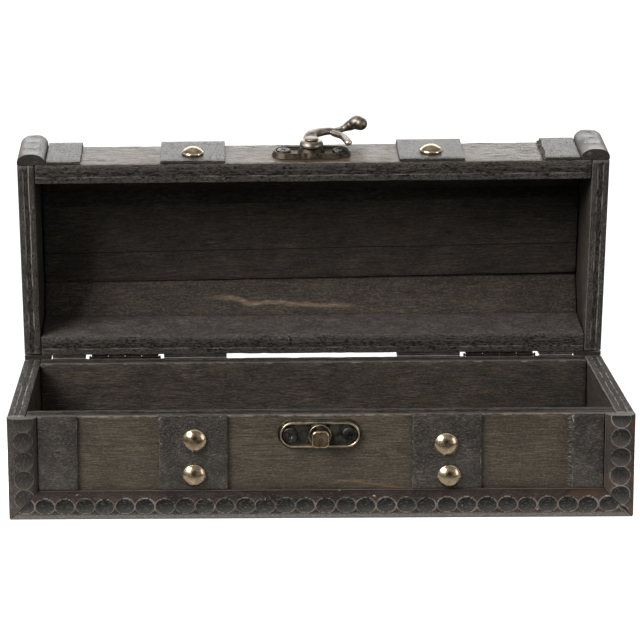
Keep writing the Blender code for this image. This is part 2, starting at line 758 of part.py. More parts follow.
def build_lid_nails(lid_axis):
    """Put one nail in each strap on the lid's front and one on its top."""
    corners = lid_corners()
    lift = STRAP_PROUD + SEAT_GAP
    for side, sign in SIDES:
        across = sign * STRAP_CENTRE
        front = Matrix.Translation((across, corners[0].x - lift, corners[0].y + LID_NAIL_RISE))
        dome_nail("lid_front_nail_" + side, front @ FACING_FRONT, lid_axis)
        middle = (corners[2].x + corners[3].x) / 2
        top = Matrix.Translation((across, middle, corners[2].y + lift))
        dome_nail("lid_top_nail_" + side, top, lid_axis)


def polar(radius, degrees, level, width, height):
    """Return one control of the hook's path: a place round the rivet, and the section there."""
    turn = math.radians(degrees)
    place = Vector((radius * math.cos(turn), radius * math.sin(turn), level))
    return place, Vector((width / 2, height / 2))


def smooth_path(controls):
    """Return points on a smooth curve through the controls, with the half sizes of the section."""
    samples = []
    padded = [controls[0]] + controls + [controls[-1]]
    for before, first, second, after in zip(padded, padded[1:], padded[2:], padded[3:]):
        for step in range(PATH_STEPS):
            t = step / PATH_STEPS
            place = (
                first[0]
                + (second[0] - before[0]) * (t / 2)
                + (before[0] * 2 - first[0] * 5 + second[0] * 4 - after[0]) * (t * t / 2)
                + (first[0] * 3 - before[0] - second[0] * 3 + after[0]) * (t ** 3 / 2)
            )
            samples.append((place, first[1].lerp(second[1], t)))
    samples.append(controls[-1])
    return samples


def round_cap(place, along, half, backwards=False):
    """Return the shrinking rings that close one end of an arm, from the arm outwards."""
    rings = []
    outwards = -along if backwards else along
    for degrees in (30, 60, 80):
        lean = math.radians(degrees)
        rings.append((place + outwards * half.x * math.sin(lean), along, half * math.cos(lean)))
    return rings


def cast_arm(controls):
    """Return a round-ended arm of oval section along a smooth path."""
    samples = smooth_path(controls)
    last = len(samples) - 1
    rings = []
    for index, (place, half) in enumerate(samples):
        ahead = samples[min(index + 1, last)][0] - samples[max(index - 1, 0)][0]
        rings.append((place, ahead.normalized(), half))
    rings = round_cap(*rings[0], backwards=True)[::-1] + rings + round_cap(*rings[-1])
    shape = bmesh.new()
    loops = []
    for place, along, half in rings:
        aside = along.cross(Z).normalized()
        over = aside.cross(along)
        loop = []
        for step in range(TUBE_SIDES):
            turn = math.tau * step / TUBE_SIDES
            offset = aside * half.x * math.cos(turn) + over * half.y * math.sin(turn)
            loop.append(shape.verts.new(place + offset))
        loops.append(loop)
    for near, far in zip(loops, loops[1:]):
        for step in range(TUBE_SIDES):
            after = (step + 1) % TUBE_SIDES
            shape.faces.new((near[step], near[after], far[after], far[step]))
    shape.faces.new(loops[0])
    shape.faces.new(loops[-1])
    return shape


def build_latch(lid_axis):
    """Make the latch plate, its screws, the rivet and the swan-neck hook that turns on it."""
    corners = lid_corners()
    spot = Matrix.Translation((0, corners[0].x, corners[0].y + PIVOT_RISE))
    mount = add_empty("latch_mount", spot @ FACING_FRONT, lid_axis)
    latch_plate("latch_plate", mount)
    cross_screw("latch_screw_left", -SCREW_X, mount)
    cross_screw("latch_screw_right", SCREW_X, mount)

    eye_foot = BOSS_HEIGHT + SEAT_GAP
    eye_top = eye_foot + EYE_HEIGHT
    head_foot = eye_top + SEAT_GAP
    head_top = head_foot + RIVET_HEAD_HEIGHT
    rivet = [
        (0, head_top),
        (RIVET_HEAD_RADIUS * 0.8, head_top),
        (RIVET_HEAD_RADIUS, head_top - RIVET_HEAD_HEIGHT / 2),
        (RIVET_HEAD_RADIUS, head_foot),
        (RIVET_RADIUS, head_foot),
        (RIVET_RADIUS, eye_foot),
        (0, eye_foot),
    ]
    add_object("latch_rivet", turned(rivet, ROUND_SIDES), antique_bronze(), mount)
    build_hook(mount, eye_foot, eye_top)


def build_hook(mount, eye_foot, eye_top):
    """Make the swan-neck hook: an eye, an arm that ends in a bulb, and a prong inside it."""
    narrowing = EYE_FOOT_RADIUS - EYE_TOP_RADIUS
    eye = [
        (0, eye_top),
        (EYE_TOP_RADIUS, eye_top),
        (EYE_TOP_RADIUS + narrowing * 0.6, eye_top - EYE_HEIGHT * 0.25),
        (EYE_FOOT_RADIUS, eye_top - EYE_HEIGHT * 0.55),
        (EYE_FOOT_RADIUS, eye_foot + EYE_HEIGHT * 0.15),
        (EYE_FOOT_RADIUS - narrowing * 0.3, eye_foot),
        (0, eye_foot),
    ]
    hook = add_object("latch_hook", turned(eye, ROUND_SIDES), antique_bronze(), mount, smooth=True)
    passage = NECK_RADIUS + HOOK_CLEARANCE
    prong_path = HOOK_REACH - passage - PRONG_WIDTH / 2
    jaw_path = HOOK_REACH + passage + JAW_WIDTH / 2
    bulb_path = HOOK_REACH + KNOB_SIZE / 2 + HOOK_CLEARANCE + BULB_WIDTH / 2
    fork = STUD_ANGLE + math.degrees((passage + FORK_WIDTH / 2) / HOOK_REACH)
    eye_middle = (eye_foot + eye_top) / 2
    swan = HOOK_LEVEL + SWAN_LIFT
    arm = [
        polar(EYE_TOP_RADIUS / 2, fork + 50, eye_middle, 2 * EYE_TOP_RADIUS * 0.9, EYE_HEIGHT * 0.8),
        polar(HOOK_REACH * 0.39, fork + 34, swan, SWAN_WIDTH * 1.2, SWAN_HEIGHT),
        polar(HOOK_REACH * 0.6, fork + 18, swan, SWAN_WIDTH, SWAN_HEIGHT),
        polar(HOOK_REACH * 0.8, fork + 7, (swan + HOOK_LEVEL) / 2, FORK_WIDTH, SWAN_HEIGHT * 0.9),
        polar(HOOK_REACH, fork, HOOK_LEVEL, FORK_WIDTH, FORK_HEIGHT),
        polar(jaw_path, fork - 2, HOOK_LEVEL, JAW_WIDTH, FORK_HEIGHT),
        polar(bulb_path - BULB_WIDTH / 8, fork - 7, HOOK_LEVEL + BULB_LIFT / 2, JAW_WIDTH, BULB_HEIGHT * 0.6),
        polar(bulb_path, fork - 12, HOOK_LEVEL + BULB_LIFT, BULB_WIDTH * 0.8, BULB_HEIGHT * 0.85),
        polar(bulb_path, fork - 17, HOOK_LEVEL + BULB_LIFT, BULB_WIDTH, BULB_HEIGHT),
    ]
    prong = [
        polar(HOOK_REACH * 0.83, fork + 6, (swan + HOOK_LEVEL) / 2, PRONG_WIDTH * 0.8, FORK_HEIGHT * 0.7),
        polar(prong_path, fork - 6, HOOK_LEVEL, PRONG_WIDTH, FORK_HEIGHT),
        polar(prong_path, fork - 24, HOOK_LEVEL, PRONG_WIDTH, FORK_HEIGHT),
        polar(prong_path, fork - 42, HOOK_LEVEL, PRONG_WIDTH, FORK_HEIGHT),
    ]
    for name, path in (("latch_hook_arm", arm), ("latch_hook_prong", prong)):
        combine(hook, add_object(name, cast_arm(path), antique_bronze(), mount), "UNION")
    bore = rod(RIVET_RADIUS + RIVET_CLEARANCE, 2 * eye_top)
    combine(hook, add_object("latch_hook_bore", bore, antique_bronze(), mount), "DIFFERENCE")


def main():
    """Build the base, then the lid around its hinge axis, then the latch on the lid."""
    clear_scene()
    build_base_boards()
    build_base_trim()
    build_base_mouldings()
    build_base_nails()
    build_catch()
    axis = Matrix.Translation((0, BACK_Y + AXIS_BEHIND, BASE_HEIGHT + RIM_GAP / 2))
    lid_axis = add_empty("lid_hinge_axis", axis @ Matrix.Rotation(-OPEN_ANGLE, 4, "X"))
    build_hinges(lid_axis)
    build_lid_boards(lid_axis)
    build_lid_trim(lid_axis)
    build_lid_mouldings(lid_axis)
    build_lid_nails(lid_axis)
    build_latch(lid_axis)


main()
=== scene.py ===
"""Looks of the small wooden chest: worn boards, coin-bead mouldings, brass nails and a bronze latch.

Units are metres, +Z is up and the front looks along -Y. The boards, straps, mouldings and metalwork
of the frame are rebuilt here with worn edges and fine relief, and each rides on its own body.
"""
from __future__ import annotations

import logging
import math
from dataclasses import dataclass, replace
from enum import Enum
from typing import Callable, Iterable, Sequence, Union

import bmesh
import bpy
from mathutils import Matrix, Vector, noise

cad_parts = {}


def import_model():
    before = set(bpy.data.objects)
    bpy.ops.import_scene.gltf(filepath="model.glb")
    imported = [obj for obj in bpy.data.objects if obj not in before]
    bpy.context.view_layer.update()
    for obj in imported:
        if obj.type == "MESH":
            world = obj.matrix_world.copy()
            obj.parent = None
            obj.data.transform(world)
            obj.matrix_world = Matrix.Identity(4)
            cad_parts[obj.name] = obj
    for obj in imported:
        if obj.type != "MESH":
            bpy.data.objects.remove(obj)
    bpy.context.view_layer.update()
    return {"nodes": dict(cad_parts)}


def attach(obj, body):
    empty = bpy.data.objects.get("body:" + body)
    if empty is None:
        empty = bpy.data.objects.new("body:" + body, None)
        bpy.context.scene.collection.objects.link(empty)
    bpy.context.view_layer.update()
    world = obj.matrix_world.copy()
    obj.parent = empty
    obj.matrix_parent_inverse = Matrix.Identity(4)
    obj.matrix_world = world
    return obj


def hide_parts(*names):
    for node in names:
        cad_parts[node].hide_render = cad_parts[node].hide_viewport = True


LOG = logging.getLogger("chest")
MM = 0.001
WELD = 1e-7
X = Vector((1, 0, 0))
Y = Vector((0, 1, 0))
Z = Vector((0, 0, 1))
FACING_FRONT = Matrix.Rotation(math.radians(90), 4, "X")
FACING_BACK = Matrix.Rotation(math.radians(-90), 4, "X")
ALONG_X = Matrix.Rotation(math.radians(90), 4, "Y")
SIDES = (("left", -1), ("right", 1))

Mesh = bmesh.types.BMesh
Tree = bpy.types.NodeTree
Socket = bpy.types.NodeSocket
Feed = Union[Socket, float, Sequence[float]]
Colour = tuple[float, float, float]
Point = tuple[float, float]


class Body(Enum):
    """The bodies of the frame that a piece can ride on."""

    BASE = "base"
    LID = "lid"
    HOOK = "hook"


class Slot(Enum):
    """The names of the finishes' slots."""

    PANEL = "stained_panel"
    STRAP = "charcoal_strap"
    MOULDING = "umber_moulding"
    NAIL = "dome_nail_brass"
    BRONZE = "antique_bronze"
    SCREW = "blackened_screw"


class Layer(Enum):
    """The values that a mesh carries at its points for the finishes to read."""

    BOARD = "board"
    PLY = "ply"
    RUB = "rub"
    COIN = "coin"
    RING = "ring"
    ACROSS = "across"
    # how high a point lies in its coin, for the coins' painted shade
    PAINTED_COIN_SHADE = "painted_coin_shade"


class Effect(Enum):
    """The surface effects that several finishes share."""

    GRAIN = "wood_grain"
    PLIES = "ply_layers"
    RUBBED = "rubbed_edges"
    CHIPS = "paint_chips"
    PATINA = "metal_patina"
    MOTTLE = "stain_mottle"


@dataclass(frozen=True)
class ChestSizes:
    """The frame's sizes that the pieces are built on."""

    width: float = 220 * MM
    depth: float = 77 * MM
    base_height: float = 37.5 * MM
    end_thickness: float = 6.3 * MM
    wall_thickness: float = 7.4 * MM
    bottom_thickness: float = 4 * MM
    lid_wall_height: float = 21 * MM
    lid_height: float = 34.5 * MM
    slope_run: float = 21 * MM
    slope_thickness: float = 4.5 * MM
    top_thickness: float = 7.4 * MM
    open_angle: float = math.radians(81)
    stop_slack: float = math.radians(3)
    rim_gap: float = 0.6 * MM
    seat_gap: float = 0.3 * MM
    strap_thickness: float = 1.2 * MM
    strap_width: float = 24.2 * MM
    strap_centre: float = 44.5 * MM
    lid_strip_width: float = 13 * MM
    back_strip_width: float = 13 * MM
    front_strip_left: float = 14 * MM
    front_strip_right: float = 11.5 * MM
    back_strap_lift: float = 0.6 * MM
    moulding_width: float = 10.4 * MM
    hinge_side_gap: float = 2 * MM

    @property
    def strap_proud(self) -> float:
        """How far a strap's face stands off the wood."""
        return self.seat_gap + self.strap_thickness

    @property
    def axis_behind(self) -> float:
        """How far the hinge axis lies behind the back face."""
        meet = math.tan((self.open_angle + self.stop_slack) / 2)
        return self.strap_proud - self.rim_gap / 2 / meet

    @property
    def inner_half(self) -> float:
        """Half the width between the two ends."""
        return self.width / 2 - self.end_thickness

    @property
    def strip_edge(self) -> float:
        """Where the end strips stop beside the corner mouldings."""
        return self.width / 2 - self.moulding_width - self.seat_gap

    @property
    def trim_bottom(self) -> float:
        """The lower end of the straps on the front."""
        return self.moulding_width + self.seat_gap

    @property
    def hinge_span(self) -> tuple[float, float]:
        """The inner and outer end of a hinge, measured from the middle.

        Returns:
            The two distances.
        """
        inner = self.strap_centre + self.strap_width / 2 + self.hinge_side_gap
        widest = max(self.lid_strip_width, self.back_strip_width)
        return inner, self.strip_edge - widest - self.hinge_side_gap

    @property
    def axis_place(self) -> Matrix:
        """The hinge axis on the base, not turned."""
        rise = self.base_height + self.rim_gap / 2
        return Matrix.Translation((0, self.depth / 2 + self.axis_behind, rise))

    @property
    def lid_place(self) -> Matrix:
        """The lid's own frame, turned open about the hinge axis."""
        return self.axis_place @ Matrix.Rotation(-self.open_angle, 4, "X")

    def lid_corners(self) -> list[Vector]:
        """Return the lid's outer profile from front rim to back rim, as (y, z) with the lid shut.

        Returns:
            The six corners.
        """
        back = -self.axis_behind
        front = back - self.depth
        rim = self.rim_gap / 2
        return [
            Vector((front, rim)),
            Vector((front, rim + self.lid_wall_height)),
            Vector((front + self.slope_run, rim + self.lid_height)),
            Vector((back - self.slope_run, rim + self.lid_height)),
            Vector((back, rim + self.lid_wall_height)),
            Vector((back, rim)),
        ]


SIZES = ChestSizes()


def rgba(value: Feed) -> Feed:
    """Give a plain colour its fourth value and leave a socket as it is."""
    return (*value, 1.0) if isinstance(value, tuple) else value


class Graph:
    """The nodes of one shader tree, with short calls for the kinds used most."""

    def __init__(self, tree: Tree) -> None:
        """Start on the tree of a material, a world or a node group."""
        self.tree = tree

    def node(self, kind: str, **settings: object) -> bpy.types.Node:
        """Add a node.

        Args:
            kind: The node's type name.
            settings: Properties to set on it.

        Returns:
            The new node.
        """
        made = self.tree.nodes.new(kind)
        for key, value in settings.items():
            setattr(made, key, value)
        return made

    def feed(self, socket: Socket, value: Feed) -> None:
        """Link a socket into an input, or set the input's own value.

        Args:
            socket: The input.
            value: A socket, a number or a vector.
        """
        if isinstance(value, Socket):
            self.tree.links.new(value, socket)
        else:
            socket.default_value = value

    def fed(self, kind: str, feeds: dict[int | str, Feed], **settings: object) -> bpy.types.NodeOutputs:
        """Add a node and feed its inputs.

        Args:
            kind: The node's type name.
            feeds: What its inputs get, by number or name.
            settings: Properties to set on it.

        Returns:
            The node's outputs.
        """
        made = self.node(kind, **settings)
        for key, value in feeds.items():
            self.feed(made.inputs[key], value)
        return made.outputs

    def maths(self, how: str, first: Feed, second: Feed = 0.0, clamp: bool = False) -> Socket:
        """Combine two values by an operation, and keep the result between 0 and 1 with clamp."""
        return self.fed("ShaderNodeMath", {0: first, 1: second}, operation=how, use_clamp=clamp)[0]

    def times(self, first: Feed, second: Feed) -> Socket:
        """Multiply two values."""
        return self.maths("MULTIPLY", first, second)

    def plus(self, first: Feed, second: Feed) -> Socket:
        """Add two values."""
        return self.maths("ADD", first, second)

    def minus(self, first: Feed, second: Feed) -> Socket:
        """Take the second value from the first."""
        return self.maths("SUBTRACT", first, second)

    def off(self, first: Feed, second: Feed) -> Socket:
        """Return how far two values lie apart."""
        return self.maths("ABSOLUTE", self.minus(first, second))

    def spread(self, value: Feed, low: Feed, high: Feed) -> Socket:
        """Ease a value from 0 at low to 1 at high."""
        feeds = {0: value, 1: low, 2: high}
        return self.fed("ShaderNodeMapRange", feeds, interpolation_type="SMOOTHSTEP")[0]

    def remap(self, value: Feed, low: float, high: float) -> Socket:
        """Stretch a value from 0..1 to low..high."""
        return self.fed("ShaderNodeMapRange", {0: value, 3: low, 4: high})[0]

    def blend(self, share: Feed, first: Feed, second: Feed) -> Socket:
        """Mix two colours, with a share of the second."""
        feeds = {0: share, 6: rgba(first), 7: rgba(second)}
        return self.fed("ShaderNodeMix", feeds, data_type="RGBA", blend_type="MIX")[2]

    def over(self, tone: Feed, colour: Colour, mask: Feed, share: float) -> Socket:
        """Lay a share of a colour over a tone where a mask shows."""
        return self.blend(self.times(mask, share), tone, colour)

    def scaled(self, vector: Feed, factors: Feed) -> Socket:
        """Multiply a vector by another, part by part."""
        return self.fed("ShaderNodeVectorMath", {0: vector, 1: factors}, operation="MULTIPLY")[0]

    def split(self, vector: Feed) -> bpy.types.NodeOutputs:
        """Return the three parts of a vector."""
        return self.fed("ShaderNodeSeparateXYZ", {0: vector})

    def noise(self, vector: Feed, scale: Feed, detail: float, warp: Feed = 0.0) -> Socket:
        """Return a noise texture's value, with so many finer layers and so much distortion."""
        feeds = {"Vector": vector, "Scale": scale, "Detail": detail, "Roughness": 0.58, "Distortion": warp}
        return self.fed("ShaderNodeTexNoise", feeds)[0]

    def spot(self, which: str = "Object") -> Socket:
        """Return where a point lies, in the object's own frame."""
        return self.node("ShaderNodeTexCoord").outputs[which]

    def value(self, which: Layer) -> Socket:
        """Return a value which the mesh carries."""
        return self.node("ShaderNodeAttribute", attribute_name=which.value).outputs["Fac"]

    def vector(self, which: Layer) -> Socket:
        """Return a vector which the mesh carries."""
        return self.node("ShaderNodeAttribute", attribute_name=which.value).outputs["Vector"]


class SharedEffects:
    """The node groups, each built once."""

    def __init__(self) -> None:
        """Build every group."""
        makers: dict[Effect, Callable[[], Tree]] = {
            Effect.GRAIN: self._grain,
            Effect.PLIES: self._plies,
            Effect.RUBBED: self._rubbed,
            Effect.CHIPS: self._chips,
            Effect.PATINA: self._patina,
            Effect.MOTTLE: self._mottle,
        }
        self._trees = {effect: maker() for effect, maker in makers.items()}

    def place(self, graph: Graph, effect: Effect, **inputs: Feed) -> bpy.types.NodeOutputs:
        """Place an effect in a material and return its outputs."""
        return graph.fed("ShaderNodeGroup", inputs, node_tree=self._trees[effect])

    @staticmethod
    def _open(effect: Effect, **inputs: float) -> tuple[Graph, bpy.types.NodeOutputs]:
        """Open a group that reads a vector and some values.

        Args:
            effect: The effect that names it.
            inputs: The values' names and what they are when nothing is fed.

        Returns:
            The graph and the inputs to read from.
        """
        tree = bpy.data.node_groups.new(effect.value, "ShaderNodeTree")
        for name, value in {"Vector": (0.0, 0.0, 0.0), **inputs}.items():
            kind = "NodeSocketVector" if isinstance(value, tuple) else "NodeSocketFloat"
            socket = tree.interface.new_socket(name=name, in_out="INPUT", socket_type=kind)
            socket.default_value = value
        graph = Graph(tree)
        return graph, graph.node("NodeGroupInput").outputs

    @staticmethod
    def _close(graph: Graph, **outputs: Socket) -> Tree:
        """Give a group its outputs, all plain values.

        Args:
            graph: The group's graph.
            outputs: The outputs' names and what feeds them.

        Returns:
            The finished group.
        """
        for name in outputs:
            graph.tree.interface.new_socket(name=name, in_out="OUTPUT", socket_type="NodeSocketFloat")
        graph.fed("NodeGroupOutput", outputs)
        return graph.tree

    def _grain(self) -> Tree:
        """Build the grain: broad streaks, fine fibres, short pores and their relief.

        Returns:
            The group.
        """
        graph, given = self._open(Effect.GRAIN, Along=50.0, Across=600.0, Wander=0.4)
        sizes = {0: given["Along"], 1: given["Across"], 2: given["Across"]}
        run = graph.scaled(given["Vector"], graph.fed("ShaderNodeCombineXYZ", sizes)[0])
        streaks = graph.spread(graph.noise(run, 1.0, 2.0, given["Wander"]), 0.36, 0.64)
        fine = graph.scaled(run, (1.9, 1.4, 1.4))
        fibres = graph.spread(graph.noise(fine, 1.0, 1.0, 0.1), 0.52, 0.68)
        dashes = graph.scaled(run, (2.4, 1.1, 1.1))
        pores = graph.spread(graph.noise(dashes, 1.3, 1.0, 0.1), 0.57, 0.66)
        broad = graph.noise(graph.scaled(run, (0.055, 0.03, 0.03)), 1.0, 2.0, 0.5)
        turns = graph.maths("SINE", graph.times(broad, 70.0))
        raised = graph.plus(graph.times(streaks, 0.35), graph.times(fibres, 0.5))
        return self._close(
            graph, Streaks=streaks, Fibres=fibres, Pores=pores,
            Rings=graph.times(graph.spread(turns, 0.55, 1.0), graph.spread(streaks, 0.1, 0.7)),
            Seams=graph.times(graph.spread(turns, -0.93, -1.0), graph.spread(streaks, 0.9, 0.4)),
            Height=graph.minus(raised, graph.times(pores, 0.7)),
        )

    def _plies(self) -> Tree:
        """Build a plywood edge: a smooth core between two torn layers, with pale glue lines.

        Returns:
            The group.
        """
        graph, given = self._open(Effect.PLIES, Ply=0.5, Tear=0.5)

        def patches(*scale: float, detail: float = 2.0, warp: float = 0.0) -> Socket:
            """Return noise at its own scale along each axis."""
            return graph.noise(graph.scaled(given["Vector"], scale), 1.0, detail, warp)

        sway = graph.times(graph.minus(patches(90.0, 90.0, 90.0), 0.5), 0.1)
        away = graph.off(graph.plus(given["Ply"], sway), 0.5)
        torn = graph.spread(away, 0.13, 0.19)
        broken = graph.spread(patches(160.0, 160.0, 160.0), 0.4, 0.62)
        grit = patches(700.0, 1500.0, 1500.0, warp=0.3)
        clumps = patches(150.0, 150.0, 150.0, detail=1.0)
        edge = graph.minus(0.8, graph.times(clumps, graph.times(given["Tear"], 0.4)))
        pits = graph.times(graph.spread(grit, edge, graph.plus(edge, 0.08)), torn)
        return self._close(
            graph, Core=graph.minus(1.0, torn),
            Glue=graph.times(graph.spread(graph.off(away, 0.16), 0.045, 0.01), broken),
            Pits=pits, Height=graph.minus(graph.times(grit, torn), pits),
        )

    def _rubbed(self) -> Tree:
        """Build the broken line of wear along an edge that the mesh marks.

        Returns:
            The group.
        """
        graph, given = self._open(Effect.RUBBED, Edge=0.0, Scale=300.0, Amount=0.5)
        broken = graph.noise(given["Vector"], given["Scale"], 3.0)
        worn = graph.plus(given["Edge"], graph.times(graph.minus(broken, 0.5), 1.3))
        start = graph.minus(1.15, given["Amount"])
        mask = graph.spread(worn, start, graph.plus(start, 0.3))
        return self._close(graph, Mask=graph.times(mask, graph.spread(given["Edge"], 0.02, 0.3)))

    def _chips(self) -> Tree:
        """Build scattered small chips where bare wood or dust shows.

        Returns:
            The group.
        """
        graph, given = self._open(Effect.CHIPS, Scale=160.0, Cover=0.04, Size=0.16)
        warp = graph.times(graph.noise(given["Vector"], 900.0, 2.0), 0.002)
        shift = graph.scaled((1.0, 1.0, 1.0), warp)
        near = graph.fed("ShaderNodeVectorMath", {0: given["Vector"], 1: shift}, operation="ADD")[0]
        cells = graph.fed("ShaderNodeTexVoronoi", {"Vector": near, "Scale": given["Scale"]})
        chance = graph.fed("ShaderNodeSeparateColor", {0: cells["Color"]})
        chosen = graph.maths("LESS_THAN", chance[0], given["Cover"])
        size = graph.times(given["Size"], graph.plus(chance[1], 0.3))
        inside = graph.spread(cells["Distance"], size, graph.times(size, 0.6))
        return self._close(graph, Mask=graph.times(chosen, inside))

    def _patina(self) -> Tree:
        """Build old metal: cloudy tarnish, fine scratches and their relief.

        Returns:
            The group.
        """
        graph, given = self._open(Effect.PATINA, Scale=350.0)
        cloud = graph.noise(given["Vector"], given["Scale"], 5.0, 0.6)
        brushed = graph.scaled(given["Vector"], (5200.0, 700.0, 700.0))
        scratches = graph.spread(graph.noise(brushed, 1.0, 2.0), 0.5, 0.75)
        bumps = graph.noise(given["Vector"], graph.times(given["Scale"], 3.5), 2.0)
        return self._close(
            graph, Tarnish=graph.spread(cloud, 0.36, 0.66), Scratches=scratches,
            Height=graph.plus(bumps, graph.times(scratches, 0.3)),
        )

    def _mottle(self) -> Tree:
        """Build the uneven take-up of a stain: broad clouds and fine speckle.

        Returns:
            The group.
        """
        graph, given = self._open(Effect.MOTTLE, Scale=45.0, Fine=2100.0)
        clouds = graph.noise(given["Vector"], given["Scale"], 3.0, 0.5)
        speckle = graph.noise(graph.scaled(given["Vector"], (0.5, 1.0, 1.0)), given["Fine"], 1.0)
        return self._close(
            graph, Clouds=graph.spread(clouds, 0.3, 0.7), Speckle=graph.spread(speckle, 0.5, 0.7),
        )


@dataclass(frozen=True)
class Finish:
    """What every finish has: its shine, whether it is metal, and the depth and strength of its relief."""

    shine: float = 0.18
    metallic: float = 0.0
    relief: float = 0.15 * MM
    strength: float = 0.5

    def paint(self, graph: Graph, effects: SharedEffects) -> tuple[Socket, Socket, Socket]:
        """Return the finish's colour, its roughness and its relief from about 0 to 1."""
        raise NotImplementedError

    def build(self, name: str, effects: SharedEffects) -> bpy.types.Material:
        """Return the finished material.

        Args:
            name: The material's name.
            effects: The shared node groups.

        Returns:
            The material.
        """
        made = bpy.data.materials.new(name)
        made.use_nodes = True
        graph = Graph(made.node_tree)
        shader = made.node_tree.nodes["Principled BSDF"].inputs
        shader["Specular IOR Level"].default_value = self.shine
        shader["Metallic"].default_value = self.metallic
        tone, roughness, height = self.paint(graph, effects)
        graph.feed(shader["Base Color"], tone)
        graph.feed(shader["Roughness"], roughness)
        feeds = {"Strength": self.strength, "Distance": self.relief, "Height": height}
        graph.feed(shader["Normal"], graph.fed("ShaderNodeBump", feeds)["Normal"])
        return made


@dataclass(frozen=True)
class Streak:
    """A pale resin streak in one board, placed in the board's own grain coordinates."""

    along: float
    across: float
    length: float
    lean: float
    colour: Colour
    width: float = 1.1 * MM
    strength: float = 0.8
    sway: float = 6 * MM

    def lay(self, graph: Graph, board: Socket, fibres: Socket, tone: Socket) -> Socket:
        """Return the wood's colour with the streak laid over it.

        Args:
            graph: The material's nodes.
            board: The board's grain coordinates.
            fibres: How light the fibres are.
            tone: The wood's colour.

        Returns:
            The mixed colour.
        """
        parts = graph.split(board)
        ahead = graph.minus(parts[0], self.along)
        bend = graph.times(graph.minus(graph.noise(board, 55.0, 3.0), 0.5), self.sway)
        line = graph.plus(graph.times(ahead, self.lean), bend)
        aside = graph.off(graph.minus(parts[1], self.across), line)
        mask = graph.spread(aside, self.width, self.width * 0.15)
        reach = graph.spread(graph.maths("ABSOLUTE", ahead), self.length * 0.5, self.length * 0.3)
        mask = graph.times(graph.times(mask, reach), graph.remap(fibres, 0.45, 1.0))
        return graph.over(tone, self.colour, mask, self.strength)


@dataclass(frozen=True)
class WoodFinish(Finish):
    """Stained wood with long grain, rubbed edges and small chips."""

    strength: float = 0.55
    pore: Colour = (0.014, 0.0112, 0.0082)
    dark: Colour = (0.034, 0.0265, 0.0185)
    middle: Colour = (0.053, 0.0415, 0.0285)
    light: Colour = (0.122, 0.097, 0.063)
    gold: Colour = (0.130, 0.088, 0.043)
    bare: Colour = (0.24, 0.20, 0.17)
    along: float = 115.0
    across: float = 2200.0
    wander: float = 0.12
    fibre_share: float = 0.8
    pore_share: float = 0.75
    cloud_scale: float = 45.0
    cloud_share: float = 0.35
    ring_share: float = 0.12
    seam_share: float = 0.3
    speckle_share: float = 0.35
    chip_scale: float = 300.0
    chip_cover: float = 0.03
    rub_amount: float = 0.5
    crack: float | None = None
    streak: Streak | None = None
    smooth: float = 0.48
    rough: float = 0.66

    def paint(self, graph: Graph, effects: SharedEffects) -> tuple[Socket, Socket, Socket]:
        """Return the wood's colour, roughness and relief.

        Args:
            graph: The material's nodes.
            effects: The shared node groups.

        Returns:
            The three sockets.
        """
        board = graph.vector(Layer.BOARD)
        edge = graph.value(Layer.RUB)
        grain = effects.place(
            graph, Effect.GRAIN, Vector=board, Along=self.along, Across=self.across, Wander=self.wander
        )
        stain = effects.place(graph, Effect.MOTTLE, Vector=board, Scale=self.cloud_scale)
        rubbed = effects.place(graph, Effect.RUBBED, Vector=board, Edge=edge, Amount=self.rub_amount)
        chips = effects.place(graph, Effect.CHIPS, Vector=board, Scale=self.chip_scale, Cover=self.chip_cover)
        tone = graph.blend(grain["Streaks"], self.dark, self.middle)
        lit = graph.times(grain["Fibres"], self.fibre_share)
        lit = graph.maths("MULTIPLY", lit, graph.plus(stain["Clouds"], 0.35), clamp=True)
        tone = graph.blend(lit, tone, self.light)
        tone = graph.over(tone, self.gold, grain["Rings"], self.ring_share)
        tone = graph.over(tone, self.pore, grain["Pores"], self.pore_share)
        tone = graph.over(tone, self.pore, graph.minus(1.0, stain["Clouds"]), self.cloud_share)
        tone = graph.over(tone, self.light, stain["Speckle"], self.speckle_share)
        tone = graph.over(tone, self.pore, grain["Seams"], self.seam_share)
        if self.crack is not None:
            stray = graph.times(graph.noise(board, 30.0, 2.0), 0.8 * MM)
            off = graph.off(graph.plus(graph.split(board)[1], stray), self.crack)
            tone = graph.blend(graph.spread(off, 0.32 * MM, 0.12 * MM), tone, self.pore)
        if self.streak is not None:
            tone = self.streak.lay(graph, board, grain["Fibres"], tone)
        worn = graph.maths("MAXIMUM", graph.times(rubbed["Mask"], 0.55), chips["Mask"])
        tone = graph.blend(worn, tone, self.bare)
        dull = graph.maths("ADD", graph.times(grain["Fibres"], 0.6), worn, clamp=True)
        height = graph.plus(grain["Height"], graph.times(stain["Speckle"], 0.35))
        return tone, graph.remap(dull, self.smooth, self.rough), height


